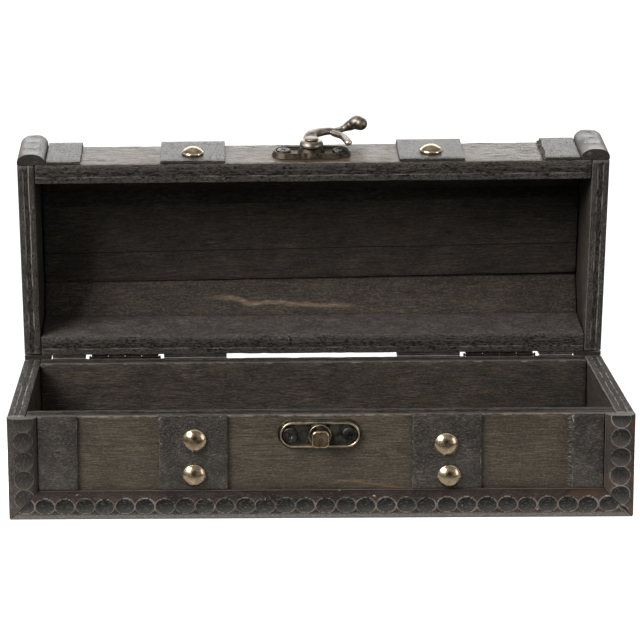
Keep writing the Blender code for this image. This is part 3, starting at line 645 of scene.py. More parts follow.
@dataclass(frozen=True)
class PlyFinish(Finish):
    """The stained, torn edge of plywood."""

    strength: float = 0.8
    dark: Colour = (0.010, 0.0093, 0.0086)
    torn: Colour = (0.040, 0.0368, 0.034)
    core: Colour = (0.036, 0.0315, 0.0272)
    pale: Colour = (0.15, 0.141, 0.132)
    tear: float = 0.5
    rub_share: float = 0.4
    glue_share: float = 0.6

    def paint(self, graph: Graph, effects: SharedEffects) -> tuple[Socket, Socket, Socket]:
        """Return the edge's colour, roughness and relief.

        Args:
            graph: The material's nodes.
            effects: The shared node groups.

        Returns:
            The three sockets.
        """
        board = graph.vector(Layer.BOARD)
        plies = effects.place(graph, Effect.PLIES, Vector=board, Ply=graph.value(Layer.PLY), Tear=self.tear)
        grain = effects.place(graph, Effect.GRAIN, Vector=board, Along=620.0, Across=1700.0)
        stain = effects.place(graph, Effect.MOTTLE, Vector=board, Scale=60.0)
        rubbed = effects.place(graph, Effect.RUBBED, Vector=board, Edge=graph.value(Layer.RUB), Amount=0.75)
        core = graph.blend(grain["Streaks"], self.dark, self.core)
        mixed = graph.maths("MAXIMUM", stain["Speckle"], grain["Streaks"])
        torn = graph.blend(graph.remap(mixed, 0.3, 1.0), self.dark, self.torn)
        torn = graph.blend(graph.times(grain["Fibres"], graph.times(stain["Clouds"], 0.6)), torn, self.pale)
        tone = graph.blend(plies["Core"], torn, core)
        tone = graph.over(tone, self.pale, plies["Glue"], self.glue_share)
        tone = graph.blend(plies["Pits"], tone, self.dark)
        tone = graph.over(tone, self.pale, rubbed["Mask"], self.rub_share)
        height = graph.plus(plies["Height"], graph.times(grain["Fibres"], 0.3))
        return tone, graph.remap(plies["Core"], 0.82, 0.62), height


@dataclass(frozen=True)
class MouldingFinish(Finish):
    """Dark pressed moulding: grey coins with painted shade at their tops and painted light at their lower
    parts, pale worn outlines and reddish ground between them, with painted shade along the side that meets
    the boards.
    """

    shine: float = 0.09
    strength: float = 0.4
    # coin is the coin's colour at its top, darkened by painted shade; the lower colour is lightened by
    # painted light
    coin: Colour = (0.009, 0.0091, 0.0084)
    coin_lower_painted_light: Colour = (0.044, 0.0425, 0.040)
    fleck: Colour = (0.100, 0.095, 0.090)
    outline: Colour = (0.160, 0.141, 0.130)
    ground: Colour = (0.012, 0.0094, 0.0088)
    red: Colour = (0.040, 0.0275, 0.0220)
    rust: Colour = (0.090, 0.044, 0.024)
    rust_from: float = 55 * MM
    rust_to: float = 92 * MM
    edge: Colour = (0.078, 0.070, 0.065)
    lip: Colour = (0.190, 0.178, 0.169)
    chip: Colour = (0.3, 0.28, 0.26)

    def paint(self, graph: Graph, effects: SharedEffects) -> tuple[Socket, Socket, Socket]:
        """Return the moulding's colour, roughness and relief.

        Args:
            graph: The material's nodes.
            effects: The shared node groups.

        Returns:
            The three sockets.
        """
        board = graph.vector(Layer.BOARD)
        coin = graph.value(Layer.COIN)
        edge = graph.value(Layer.RUB)
        across = graph.value(Layer.ACROSS)
        ring = graph.value(Layer.RING)
        stain = effects.place(graph, Effect.MOTTLE, Vector=board, Scale=70.0)
        grain = effects.place(graph, Effect.GRAIN, Vector=board, Along=150.0, Across=900.0, Wander=0.3)
        rubbed = effects.place(graph, Effect.RUBBED, Vector=board, Edge=edge, Amount=0.6)
        lines = effects.place(graph, Effect.RUBBED, Vector=board, Edge=ring, Scale=420.0, Amount=0.9)
        chips = effects.place(graph, Effect.CHIPS, Vector=board, Scale=420.0, Cover=0.03, Size=0.2)
        # painted shade and light: each coin darker at its top and lighter at its lower part, as if lit from
        # above
        face = graph.blend(graph.spread(graph.value(Layer.PAINTED_COIN_SHADE), 0.0, 0.75), self.coin_lower_painted_light, self.coin)
        face = graph.over(face, self.fleck, stain["Speckle"], 0.35)
        low = graph.blend(stain["Clouds"], self.ground, self.red)
        aged = graph.spread(graph.noise(board, 120.0, 2.0), 0.46, 0.66)
        right = graph.spread(graph.split(graph.spot())[0], self.rust_from, self.rust_to)
        low = graph.over(low, self.rust, graph.times(aged, right), 0.65)
        low = graph.over(low, self.edge, grain["Fibres"], 0.3)
        low = graph.over(low, self.edge, stain["Speckle"], 0.6)
        # painted shade: the ground darkens towards the side that meets the boards, where shade falls
        low = graph.over(low, self.ground, graph.spread(across, 0.6, 0.95), 0.6)
        tone = graph.blend(coin, low, face)
        lip = graph.times(graph.spread(across, 0.3, 0.16), graph.remap(stain["Speckle"], 0.55, 0.95))
        tone = graph.blend(lip, tone, self.lip)
        tone = graph.over(tone, self.edge, edge, 0.3)
        faded = graph.times(lines["Mask"], graph.remap(stain["Clouds"], 0.25, 0.95))
        tone = graph.blend(faded, tone, self.outline)
        tone = graph.over(tone, self.outline, rubbed["Mask"], 0.4)
        tone = graph.over(tone, self.chip, chips["Mask"], 0.8)
        dull = graph.maths("SUBTRACT", stain["Clouds"], graph.times(coin, 0.4), clamp=True)
        height = graph.plus(stain["Speckle"], graph.times(grain["Fibres"], 0.4))
        return tone, graph.remap(dull, 0.38, 0.62), height


@dataclass(frozen=True)
class MetalFinish(Finish):
    """Old metal: dark in the hollows, cloudy on the faces and bright where it is rubbed."""

    metallic: float = 1.0
    strength: float = 0.35
    relief: float = 0.05 * MM
    deep: Colour = (0.03, 0.03, 0.026)
    face: Colour = (0.10, 0.085, 0.062)
    bright: Colour = (0.62, 0.50, 0.32)
    rub_low: float = 0.35
    rub_high: float = 0.9
    smooth: float = 0.25
    rough: float = 0.5
    cloud: float = 350.0
    scratch: float = 0.15

    def paint(self, graph: Graph, effects: SharedEffects) -> tuple[Socket, Socket, Socket]:
        """Return the metal's colour, roughness and relief.

        Args:
            graph: The material's nodes.
            effects: The shared node groups.

        Returns:
            The three sockets.
        """
        patina = effects.place(graph, Effect.PATINA, Vector=graph.spot(), Scale=self.cloud)
        tone = graph.blend(patina["Tarnish"], self.deep, self.face)
        tone = graph.over(tone, self.bright, patina["Scratches"], self.scratch)
        uneven = graph.plus(graph.times(patina["Tarnish"], 0.4), 0.6)
        worn = graph.times(graph.spread(graph.value(Layer.RUB), self.rub_low, self.rub_high), uneven)
        tone = graph.blend(worn, tone, self.bright)
        dull = graph.maths("SUBTRACT", patina["Tarnish"], graph.times(worn, 0.8), clamp=True)
        return tone, graph.remap(dull, self.smooth, self.rough), patina["Height"]


class Surface(Enum):
    """The finishes of the chest."""

    PANEL = "walnut_panel"
    SIDE = "walnut_side"
    LID_PANEL = "lid_walnut_panel"
    INSIDE = "inner_panel"
    CEILING = "cracked_inner_panel"
    SLOPE = "golden_inner_panel"
    # painted light: a lighter copy of the inner wood for the lid's back board, whose inner face catches the
    # light
    PAINTED_LIGHT_SHELF = "painted_light_inner_panel"
    # painted shade: a near-black copy of the inner wood, laid on inner faces of the lid that lie in shade
    PAINTED_SHADE_INSIDE = "painted_shade_inner_panel"
    EDGE = "plywood_edge"
    LID_EDGE = "lid_plywood_edge"
    SIDE_EDGE = "side_plywood_edge"
    LID_SIDE_EDGE = "lid_side_plywood_edge"
    STRAP = "charcoal_veneer"
    SPLINTER = "torn_fibres"
    MOULDING = "coin_moulding"
    LID_MOULDING = "lid_coin_moulding"
    WORN_MOULDING = "worn_coin_moulding"
    RUSTY_MOULDING = "rusty_coin_moulding"
    NAIL = "nail_brass"
    PLATE = "plate_bronze"
    LATCH = "latch_bronze"
    HOOK = "hook_bronze"
    KNOB = "knob_brass"
    HINGE = "hinge_brass"
    SCREW = "dark_screw"


def wood_finishes() -> dict[Surface, Finish]:
    """Return the recipes of the boards, their cut edges, the straps and the mouldings.

    Returns:
        Each surface with its recipe.
    """
    panel = WoodFinish(
        along=95.0, across=2600.0, wander=0.07, fibre_share=0.62, ring_share=0.2, speckle_share=0.5,
        middle=(0.049, 0.0390, 0.0275), light=(0.098, 0.079, 0.0535),
        rub_amount=0.36, shine=0.4, smooth=0.36, rough=0.78,
        streak=Streak(0.968, 0.5537, 30 * MM, -0.083, (0.21, 0.120, 0.045), width=0.75 * MM, strength=0.6),
    )
    inside = WoodFinish(
        pore=(0.013, 0.0117, 0.0105), dark=(0.030, 0.0264, 0.0232),
        middle=(0.043, 0.0377, 0.0331), light=(0.098, 0.084, 0.071), along=150.0, across=2100.0,
        wander=0.2, chip_cover=0.0, fibre_share=0.5, pore_share=0.6, ring_share=0.2, seam_share=0.5,
        cloud_scale=60.0, cloud_share=0.35, speckle_share=0.32, rub_amount=0.2, shine=0.12,
    )
    worn = MouldingFinish(
        coin=(0.024, 0.0226, 0.0206), coin_lower_painted_light=(0.040, 0.0374, 0.0342), outline=(0.100, 0.092, 0.084),
        ground=(0.026, 0.0232, 0.0206), red=(0.044, 0.0380, 0.0326), edge=(0.090, 0.081, 0.074),
    )
    return {
        Surface.PANEL: panel,
        Surface.SIDE: replace(panel, rub_amount=0.0),
        Surface.LID_PANEL: WoodFinish(
            along=80.0, across=1200.0, wander=0.08, fibre_share=0.9, pore_share=0.85,
            ring_share=0.2, rub_amount=0.36, shine=0.36, smooth=0.36, rough=0.9,
        ),
        Surface.INSIDE: inside,
        Surface.CEILING: replace(
            inside, middle=(0.036, 0.0315, 0.0277), light=(0.084, 0.072, 0.061), crack=4.8433,
        ),
        Surface.SLOPE: replace(
            inside, fibre_share=0.6, pore_share=0.75, ring_share=0.25,
            speckle_share=0.4, light=(0.112, 0.090, 0.069), cloud_share=0.6, cloud_scale=28.0,
            streak=Streak(7.6647, 4.3556, 66 * MM, 0.075, (0.30, 0.225, 0.142), width=1.4 * MM, strength=0.5),
        ),
        # painted light: the inner wood made lighter for the lid's back board, whose inner face catches the
        # light
        Surface.PAINTED_LIGHT_SHELF: WoodFinish(
            pore=(0.018, 0.0163, 0.0152), dark=(0.046, 0.0415, 0.0388),
            middle=(0.062, 0.0558, 0.0522), light=(0.140, 0.126, 0.117), along=260.0, across=1500.0,
            wander=0.2, chip_cover=0.0, fibre_share=0.55, pore_share=0.65, ring_share=0.0, seam_share=0.3,
            cloud_scale=150.0, cloud_share=0.45, speckle_share=0.5, rub_amount=0.0, shine=0.12,
        ),
        # painted shade: near-black wood for the lid's shaded inner faces, the top board's edges and the cut
        # ends of the lid mouldings
        Surface.PAINTED_SHADE_INSIDE: WoodFinish(
            pore=(0.010, 0.0093, 0.0086), dark=(0.018, 0.0166, 0.0154),
            middle=(0.032, 0.0298, 0.028), light=(0.060, 0.055, 0.051), along=170.0, across=1800.0,
            chip_cover=0.0, ring_share=0.0, speckle_share=0.2, rub_amount=0.0,
        ),
        Surface.EDGE: PlyFinish(shine=0.06, relief=0.3 * MM),
        Surface.LID_EDGE: PlyFinish(
            shine=0.08, relief=0.35 * MM, torn=(0.058, 0.0535, 0.050),
            core=(0.052, 0.046, 0.041), tear=1.1, rub_share=0.15,
        ),
        Surface.SIDE_EDGE: PlyFinish(
            shine=0.08, relief=0.3 * MM, torn=(0.066, 0.0615, 0.058),
            core=(0.054, 0.0485, 0.044), pale=(0.30, 0.285, 0.270), tear=0.35, glue_share=0.8,
        ),
        Surface.LID_SIDE_EDGE: PlyFinish(
            shine=0.08, relief=0.3 * MM, torn=(0.054, 0.0495, 0.046), core=(0.046, 0.0405, 0.036),
            pale=(0.19, 0.178, 0.166), tear=0.6, rub_share=0.3, glue_share=0.95,
        ),
        Surface.STRAP: WoodFinish(
            pore=(0.008, 0.0070, 0.0060), dark=(0.027, 0.0236, 0.0203),
            middle=(0.038, 0.0330, 0.0282), light=(0.110, 0.097, 0.083), bare=(0.30, 0.27, 0.25),
            along=400.0, across=1700.0, fibre_share=0.45, cloud_scale=180.0, cloud_share=0.75,
            ring_share=0.0, seam_share=0.0, speckle_share=0.36, chip_scale=480.0, chip_cover=0.04,
            rub_amount=0.16, shine=0.4, smooth=0.38, rough=0.7,
        ),
        Surface.SPLINTER: WoodFinish(
            dark=(0.03, 0.027, 0.024), middle=(0.08, 0.072, 0.064),
            light=(0.2, 0.18, 0.16), chip_cover=0.1, rub_amount=0.6,
        ),
        Surface.MOULDING: MouldingFinish(relief=0.12 * MM),
        Surface.LID_MOULDING: MouldingFinish(
            shine=0.6, relief=0.12 * MM, coin_lower_painted_light=(0.030, 0.0285, 0.0265), rust_from=0.5, rust_to=1.0,
        ),
        Surface.WORN_MOULDING: worn,
        Surface.RUSTY_MOULDING: replace(
            worn, coin=(0.016, 0.0153, 0.0142), rust=(0.120, 0.052, 0.025),
            coin_lower_painted_light=(0.052, 0.0494, 0.0460), outline=(0.180, 0.163, 0.150),
        ),
    }


def metal_finishes() -> dict[Surface, Finish]:
    """Return the recipes of the nails, the latch and the hinges.

    Returns:
        Each surface with its recipe.
    """
    return {
        Surface.NAIL: MetalFinish(
            relief=0.015 * MM, deep=(0.19, 0.142, 0.090), face=(0.34, 0.277, 0.192),
            bright=(0.78, 0.69, 0.53), smooth=0.19, rough=0.28, cloud=420.0, scratch=0.1,
        ),
        Surface.PLATE: MetalFinish(
            deep=(0.028, 0.031, 0.027), face=(0.085, 0.082, 0.066), bright=(0.70, 0.56, 0.36), smooth=0.3,
        ),
        Surface.LATCH: MetalFinish(
            deep=(0.020, 0.017, 0.014), face=(0.075, 0.061, 0.047), bright=(0.30, 0.24, 0.175),
            smooth=0.44, rough=0.6, rub_low=0.6, rub_high=1.3,
        ),
        Surface.HOOK: MetalFinish(
            deep=(0.115, 0.098, 0.084), face=(0.24, 0.210, 0.182), bright=(0.68, 0.59, 0.49),
            smooth=0.34, rough=0.54, rub_low=0.45, rub_high=1.0,
        ),
        Surface.KNOB: MetalFinish(
            relief=0.04 * MM, deep=(0.17, 0.130, 0.080), face=(0.29, 0.225, 0.142),
            bright=(0.80, 0.68, 0.47), smooth=0.26, rough=0.42, scratch=0.25,
        ),
        Surface.HINGE: MetalFinish(
            deep=(0.012, 0.010, 0.008), face=(0.026, 0.021, 0.016), bright=(0.060, 0.047, 0.034),
            smooth=0.45, rough=0.65, rub_low=0.6, rub_high=1.2,
        ),
        Surface.SCREW: MetalFinish(
            relief=0.04 * MM, deep=(0.020, 0.0205, 0.020), face=(0.058, 0.059, 0.057),
            bright=(0.26, 0.255, 0.24), smooth=0.36, rough=0.52,
        ),
    }


class Bench:
    """Where pieces are put together: it knows the finishes and hangs each piece on its body."""

    def __init__(self) -> None:
        """Build the shared effects and every finish."""
        effects = SharedEffects()
        recipes = {**wood_finishes(), **metal_finishes()}
        self.finishes = {surface: recipe.build(surface.value, effects) for surface, recipe in recipes.items()}
        self.count = 0

    def put(
        self,
        name: str,
        shape: Mesh,
        body: Body,
        surfaces: Sequence[Surface],
        replaces: Sequence[str] = (),
        place: Matrix | None = None,
        smooth: float = 40.0,
    ) -> None:
        """Turn a shape into a piece that rides on a body.

        Args:
            name: The piece's name.
            shape: Its mesh, in the frame that place gives.
            body: The body it rides on.
            surfaces: Its finishes, by the faces' material index.
            replaces: The frame's nodes that it stands for.
            place: Its frame in the chest's frame.
            smooth: The angle in degrees up to which it is shaded smooth.
        """
        if place is not None:
            moved(shape, place)
        face_outward(shape)
        mesh = bpy.data.meshes.new(name)
        shape.to_mesh(mesh)
        shape.free()
        for surface in surfaces:
            mesh.materials.append(self.finishes[surface])
        mesh.shade_smooth()
        mesh.set_sharp_from_angle(angle=math.radians(smooth))
        piece = bpy.data.objects.new(name, mesh)
        bpy.context.scene.collection.objects.link(piece)
        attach(piece, body.value)
        if replaces:
            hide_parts(*replaces)
        self.count += 1
        LOG.info("%s: %d faces on %s", name, len(mesh.polygons), body.value)


def ripple(point: Vector, scale: float, seed: float) -> float:
    """Return smooth noise from about -1 to 1, with so many features to a metre, in the seed's pattern."""
    return noise.noise(point * scale + Vector((seed * 7.31, seed * 3.17, seed * 5.71)))


def clamped(value: float) -> float:
    """Return a value kept between 0 and 1."""
    return min(max(value, 0.0), 1.0)


def face_outward(shape: Mesh) -> None:
    """Turn the faces of every closed part of a shape outward.

    Args:
        shape: The mesh.
    """
    bmesh.ops.recalc_face_normals(shape, faces=shape.faces)
    shape.normal_update()
    waiting = set(shape.faces)
    while waiting:
        part = [waiting.pop()]
        for face in part:
            near = {other for side in face.edges for other in side.link_faces} & waiting
            waiting -= near
            part.extend(near)
        if sum(face.calc_center_median().dot(face.normal) * face.calc_area() for face in part) < 0:
            bmesh.ops.reverse_faces(shape, faces=part)
    shape.normal_update()


def value_layer(shape: Mesh, which: Layer) -> bmesh.types.BMLayerItem:
    """Return the shape's layer of plain values with this name."""
    found = shape.verts.layers.float.get(which.value)
    return found or shape.verts.layers.float.new(which.value)


def vector_layer(shape: Mesh, which: Layer) -> bmesh.types.BMLayerItem:
    """Return the shape's layer of vectors with this name."""
    found = shape.verts.layers.float_vector.get(which.value)
    return found or shape.verts.layers.float_vector.new(which.value)


def loft(shape: Mesh, loops: Sequence[Sequence[Vector]]) -> list[list[bmesh.types.BMVert]]:
    """Skin closed loops of equal length, and close the first and the last with a face.

    Args:
        shape: The mesh to add to.
        loops: The loops, in order.

    Returns:
        The new points, loop by loop.
    """
    rows = [[shape.verts.new(point) for point in loop] for loop in loops]
    for near, far in zip(rows, rows[1:]):
        for index in range(len(near)):
            after = (index + 1) % len(near)
            shape.faces.new((near[index], near[after], far[after], far[index]))
    shape.faces.new(rows[0])
    shape.faces.new(rows[-1])
    return rows


def lathe(profile: Sequence[Point], sides: int, ring: bool = False) -> Mesh:
    """Turn a profile of (radius, height) points about Z.

    Args:
        profile: The points; without ring they start and end on the axis.
        sides: How many sides the turning has.
        ring: Whether the profile closes on itself, clear of the axis.

    Returns:
        The mesh.
    """
    shape = bmesh.new()
    turns = [math.tau * step / sides for step in range(sides)]
    rows = []
    for radius, height in profile:
        if radius < WELD:
            rows.append([shape.verts.new((0, 0, height))])
        else:
            points = [(radius * math.cos(turn), radius * math.sin(turn), height) for turn in turns]
            rows.append([shape.verts.new(point) for point in points])
    pairs = list(zip(rows, rows[1:]))
    if ring:
        pairs.append((rows[-1], rows[0]))
    for near, far in pairs:
        for index in range(sides):
            after = (index + 1) % sides
            corners = ((near, index), (near, after), (far, after), (far, index))
            unique = list(dict.fromkeys(row[step % len(row)] for row, step in corners))
            if len(unique) > 2:
                shape.faces.new(unique)
    return shape


def joined(shapes: Iterable[Mesh]) -> Mesh:
    """Put several shapes into one mesh and free them.

    Args:
        shapes: The shapes.

    Returns:
        The whole mesh.
    """
    whole = bmesh.new()
    for shape in shapes:
        mesh = bpy.data.meshes.new("joined")
        shape.to_mesh(mesh)
        shape.free()
        whole.from_mesh(mesh)
        bpy.data.meshes.remove(mesh)
    return whole


def moved(shape: Mesh, place: Matrix) -> Mesh:
    """Move a shape by a matrix and return it."""
    bmesh.ops.transform(shape, matrix=place, verts=shape.verts)
    return shape


def worked(shape: Mesh, steps: Callable[[bpy.types.Object], None], helper: Mesh | None = None) -> Mesh:
    """Run modifiers on a shape and return the result.

    Args:
        shape: The mesh, which is freed.
        steps: Adds the modifiers to the object that it is given; a helper is found as "helper".
        helper: A second mesh for a cut or a union.

    Returns:
        The mesh after the modifiers.
    """
    made = []
    for name, source in (("worked", shape), ("helper", helper)):
        if source is None:
            continue
        face_outward(source)
        mesh = bpy.data.meshes.new(name)
        source.to_mesh(mesh)
        source.free()
        item = bpy.data.objects.new(name, mesh)
        bpy.context.scene.collection.objects.link(item)
        made.append(item)
    steps(made[0])
    graph = bpy.context.evaluated_depsgraph_get()
    graph.update()
    result = bmesh.new()
    result.from_mesh(made[0].evaluated_get(graph).to_mesh())
    for item in made:
        mesh = item.data
        bpy.data.objects.remove(item)
        bpy.data.meshes.remove(mesh)
    return result


def cut_out(item: bpy.types.Object) -> None:
    """Cut the helper out of an object.

    Args:
        item: The object, which gets the modifier.
    """
    step = item.modifiers.new("cut", "BOOLEAN")
    step.operation = "DIFFERENCE"
    step.solver = "EXACT"
    step.object = bpy.data.objects["helper"]


def mark_rubbed(shape: Mesh, reach: float, rounds: int = 2) -> None:
    """Mark outward edges and bulges as rubbed, from how far each point stands off its neighbours.

    Args:
        shape: The mesh.
        reach: The radius of curvature, in metres, that counts as fully rubbed.
        rounds: How often the marks are evened out.
    """
    rub = value_layer(shape, Layer.RUB)
    face_outward(shape)
    marks = {}
    for vertex in shape.verts:
        total = 0.0
        for side in vertex.link_edges:
            offset = vertex.co - side.other_vert(vertex).co
            total += 2 * offset.dot(vertex.normal) / max(offset.length_squared, WELD ** 2)
        marks[vertex] = total / max(len(vertex.link_edges), 1) * reach
    for _ in range(rounds):
        eased = {}
        for vertex, mark in marks.items():
            near = [marks[side.other_vert(vertex)] for side in vertex.link_edges]
            eased[vertex] = 0.5 * mark + 0.5 * sum(near) / max(len(near), 1)
        marks = eased
    for vertex, mark in marks.items():
        vertex[rub] = clamped(mark)


def box(near: float, far: float, low: float, high: float) -> list[Point]:
    """Return a rectangle's corners in (y, z)."""
    return [(near, low), (far, low), (far, high), (near, high)]


def rounded_outline(length: float, width: float, radius: float, steps: int) -> list[Point]:
    """Return a rectangle's outline with round corners.

    Args:
        length: Its size along the first axis.
        width: Its size along the second.
        radius: The corners' radius, up to half the width.
        steps: How many sides each corner has.

    Returns:
        The points, anticlockwise.
    """
    points = []
    for across, up, quarter in ((1, 1, 0), (-1, 1, 1), (-1, -1, 2), (1, -1, 3)):
        for step in range(steps + 1):
            turn = math.radians(90) * (quarter + step / steps)
            points.append((
                across * (length / 2 - radius) + radius * math.cos(turn),
                up * (width / 2 - radius) + radius * math.sin(turn),
            ))
    return points


@dataclass
class Plank:
    """One board: an outline in (y, z) run along X, with eased and worn corners."""

    name: str
    outline: list[Point]
    low: float
    high: float
    outer: Vector
    grain: Vector
    rim: float
    surfaces: tuple[Surface, Surface, Surface] = (Surface.PANEL, Surface.EDGE, Surface.INSIDE)
    ease: float = 0.35 * MM
    wear: float = 0.28 * MM
    pitch: float = 1.6 * MM
    seed: float = 1.0

    def _loop(self) -> list[tuple[Vector, Vector, bool]]:
        """Return the outline's points with their inward direction and whether they lie on a corner.

        Returns:
            A point, a direction and a corner's mark for each.
        """
        corners = [Vector(point) for point in self.outline]
        area = sum(a.x * b.y - b.x * a.y for a, b in zip(corners, corners[1:] + corners[:1]))
        if area < 0:
            corners.reverse()
        count = len(corners)
        loop = []
        for index, corner in enumerate(corners):
            before = (corner - corners[index - 1]).normalized()
            after = (corners[(index + 1) % count] - corner).normalized()
            inward = Vector((-before.y - after.y, before.x + after.x)).normalized()
            loop.append((corner - before * self.ease, Vector((-before.y, before.x)), True))
            loop.append((corner + inward * self.ease * 0.42, inward, True))
            loop.append((corner + after * self.ease, Vector((-after.y, after.x)), True))
            start = corner + after * self.ease
            end = corners[(index + 1) % count] - after * self.ease
            pieces = max(1, round((end - start).length / self.pitch))
            for step in range(1, pieces):
                loop.append((start.lerp(end, step / pieces), Vector((-after.y, after.x)), False))
        return loop

    def _stations(self) -> list[tuple[float, float]]:
        """Return the places along X and how far the outline is drawn in there.

        Returns:
            A place and an inset for each.
        """
        inside = self.high - self.low - 2 * self.ease
        pieces = max(1, round(inside / self.pitch))
        places = [(self.low, self.ease), (self.low + self.ease * 0.4, self.ease * 0.4)]
        for step in range(pieces + 1):
            places.append((self.low + self.ease + inside * step / pieces, 0.0))
        places += [(self.high - self.ease * 0.4, self.ease * 0.4), (self.high, self.ease)]
        return places

    def build(self) -> Mesh:
        """Return the board's mesh with its finishes and layers set.

        Returns:
            The mesh.
        """
        shape = bmesh.new()
        loop = self._loop()
        board = vector_layer(shape, Layer.BOARD)
        ply = value_layer(shape, Layer.PLY)
        rub = value_layer(shape, Layer.RUB)
        rows = []
        for place, drawn in self._stations():
            row = []
            for spot, inward, corner in loop:
                flat = spot + inward * drawn
                point = Vector((place, flat.x, flat.y))
                if corner or drawn:
                    bite = 0.5 * ripple(point, 420.0, self.seed) + 0.8 * ripple(point, 130.0, self.seed + 3)
                    depth = clamped(bite) * self.wear
                    point += Vector((0, inward.x, inward.y)) * depth
                row.append(point)
            rows.append(row)
        made = loft(shape, rows)
        for (_, drawn), row in zip(self._stations(), made):
            for vertex, (spot, _, corner) in zip(row, loop):
                at_rim = abs(spot.y - self.rim) < 1 * MM
                vertex[rub] = 1.0 if at_rim and (corner or drawn) else 0.0
        across = self.outer.cross(self.grain)
        depths = [vertex.co.dot(self.outer) for vertex in shape.verts]
        least, most = min(depths), max(depths)
        shift = Vector((self.seed * 0.731, self.seed * 0.417, self.seed * 0.193))
        for vertex, depth in zip(shape.verts, depths):
            vertex[board] = Vector((vertex.co.dot(self.grain), vertex.co.dot(across), depth)) + shift
            vertex[ply] = (depth - least) / (most - least)
        face_outward(shape)
        for face in shape.faces:
            lean = face.normal.dot(self.outer)
            face.material_index = 0 if lean > 0.9 else 2 if lean < -0.9 else 1
        return shape


@dataclass
class Ribbon:
    """A strap or strip of thin wood, folded along a path over the boards, with ragged edges."""

    name: str
    path: list[Vector]
    low: float
    high: float
    ragged: tuple[float, float] = (0.12 * MM, 0.12 * MM)
    pitch: float = 1.3 * MM
    ease: float = 0.22 * MM
    wave: float = 0.05 * MM
    square: tuple[bool, bool] = (False, False)
    seed: float = 1.0

    def _stations(self) -> list[tuple[Vector, Vector, float]]:
        """Return points on the path with the outward direction, lengthened at folds, and the run so far.

        Returns:
            A point, a direction and a run for each.
        """
        outwards = []
        for first, second in zip(self.path, self.path[1:]):
            along = (second - first).normalized()
            outwards.append(Vector((-along.y, along.x)))
        stations = []
        run = 0.0
        for index, (first, second) in enumerate(zip(self.path, self.path[1:])):
            length = (second - first).length
            pieces = max(2, round(length / self.pitch))
            for step in range(pieces):
                direction = outwards[index]
                if step == 0 and index:
                    middle = (outwards[index - 1] + outwards[index]).normalized()
                    direction = middle / middle.dot(outwards[index])
                stations.append((first.lerp(second, step / pieces), direction, run + length * step / pieces))
            run += length
        stations.append((self.path[-1], outwards[-1], run))
        return stations

    def build(self) -> Mesh:
        """Return the strap's mesh with its layers set.

        Returns:
            The mesh.
        """
        shape = bmesh.new()
        board = vector_layer(shape, Layer.BOARD)
        rub = value_layer(shape, Layer.RUB)
        stations = self._stations()
        inner = SIZES.seat_gap
        outer = SIZES.strap_proud
        pieces = max(2, round((self.high - self.low) / self.pitch))
        loops = []
        marks = []
        last = len(stations) - 1
        for index, (spot, direction, run) in enumerate(stations):
            at_end = index in (0, last)
            kept = self.square[0 if index == 0 else 1]
            top = outer - (self.ease if at_end and not kept else 0.0)
            guide = Vector((0, run, 0))
            left = self.low + self.ragged[0] * self._tear(guide, self.seed)
            right = self.high - self.ragged[1] * self._tear(guide, self.seed + 5)
            side = top - self.ease
            shoulder = top - self.ease * 0.25
            section = [(left, inner, 0.2), (left, side, 1.0), (left + self.ease * 0.5, shoulder, 1.0)]
            for step in range(pieces + 1):
                share = step / pieces
                across = left + self.ease + (right - left - 2 * self.ease) * share
                section.append((across, top, 1.0 if at_end or step in (0, pieces) else 0.0))
            section += [(right - self.ease * 0.5, shoulder, 1.0), (right, side, 1.0), (right, inner, 0.2)]
            loop = []
            for across, height, _ in section:
                wave = 0.0
                if height > inner and not (at_end and kept):
                    wave = self.wave * ripple(Vector((across, run, height)), 90.0, self.seed + 2)
                flat = spot + direction * (height + wave)
                loop.append(Vector((across, flat.x, flat.y)))
            loops.append(loop)
            marks.append([(across, run, height, mark) for across, height, mark in section])
        made = loft(shape, loops)
        shift = Vector((self.seed * 0.531, self.seed * 0.277, self.seed * 0.119))
        for row, values in zip(made, marks):
            for vertex, (across, run, height, mark) in zip(row, values):
                vertex[board] = Vector((across, run, height)) + shift
                vertex[rub] = mark
        return shape

    def _tear(self, guide: Vector, seed: float) -> float:
        """Return how far the edge is torn back at a place, from 0 to about 1."""
        rough = 0.6 * ripple(guide, 900.0, seed) + 0.7 * ripple(guide, 240.0, seed + 1)
        return min(max(0.35 + rough, 0.0), 1.3)


@dataclass(frozen=True)
class EndCut:
    """A slanted end of a moulding, as its slope across the width and its slope through the height."""

    across: float = 0.0
    out: float = 0.0

    def plane(self, seat_gap: float) -> tuple[Vector, Vector]:
        """Return a point on the cut and its normal, pointing out of a moulding that starts there.

        Args:
            seat_gap: The gap that a mitre keeps to its neighbour, half on each side.

        Returns:
            The point and the normal, in the moulding's frame.
        """
        slanted = self.across != 0 or self.out != 0
        setback = seat_gap / 2 * math.sqrt(1 + self.across ** 2 + self.out ** 2) if slanted else 0.0
        return Vector((setback, 0, 0)), Vector((-1, self.across, -self.out)).normalized()


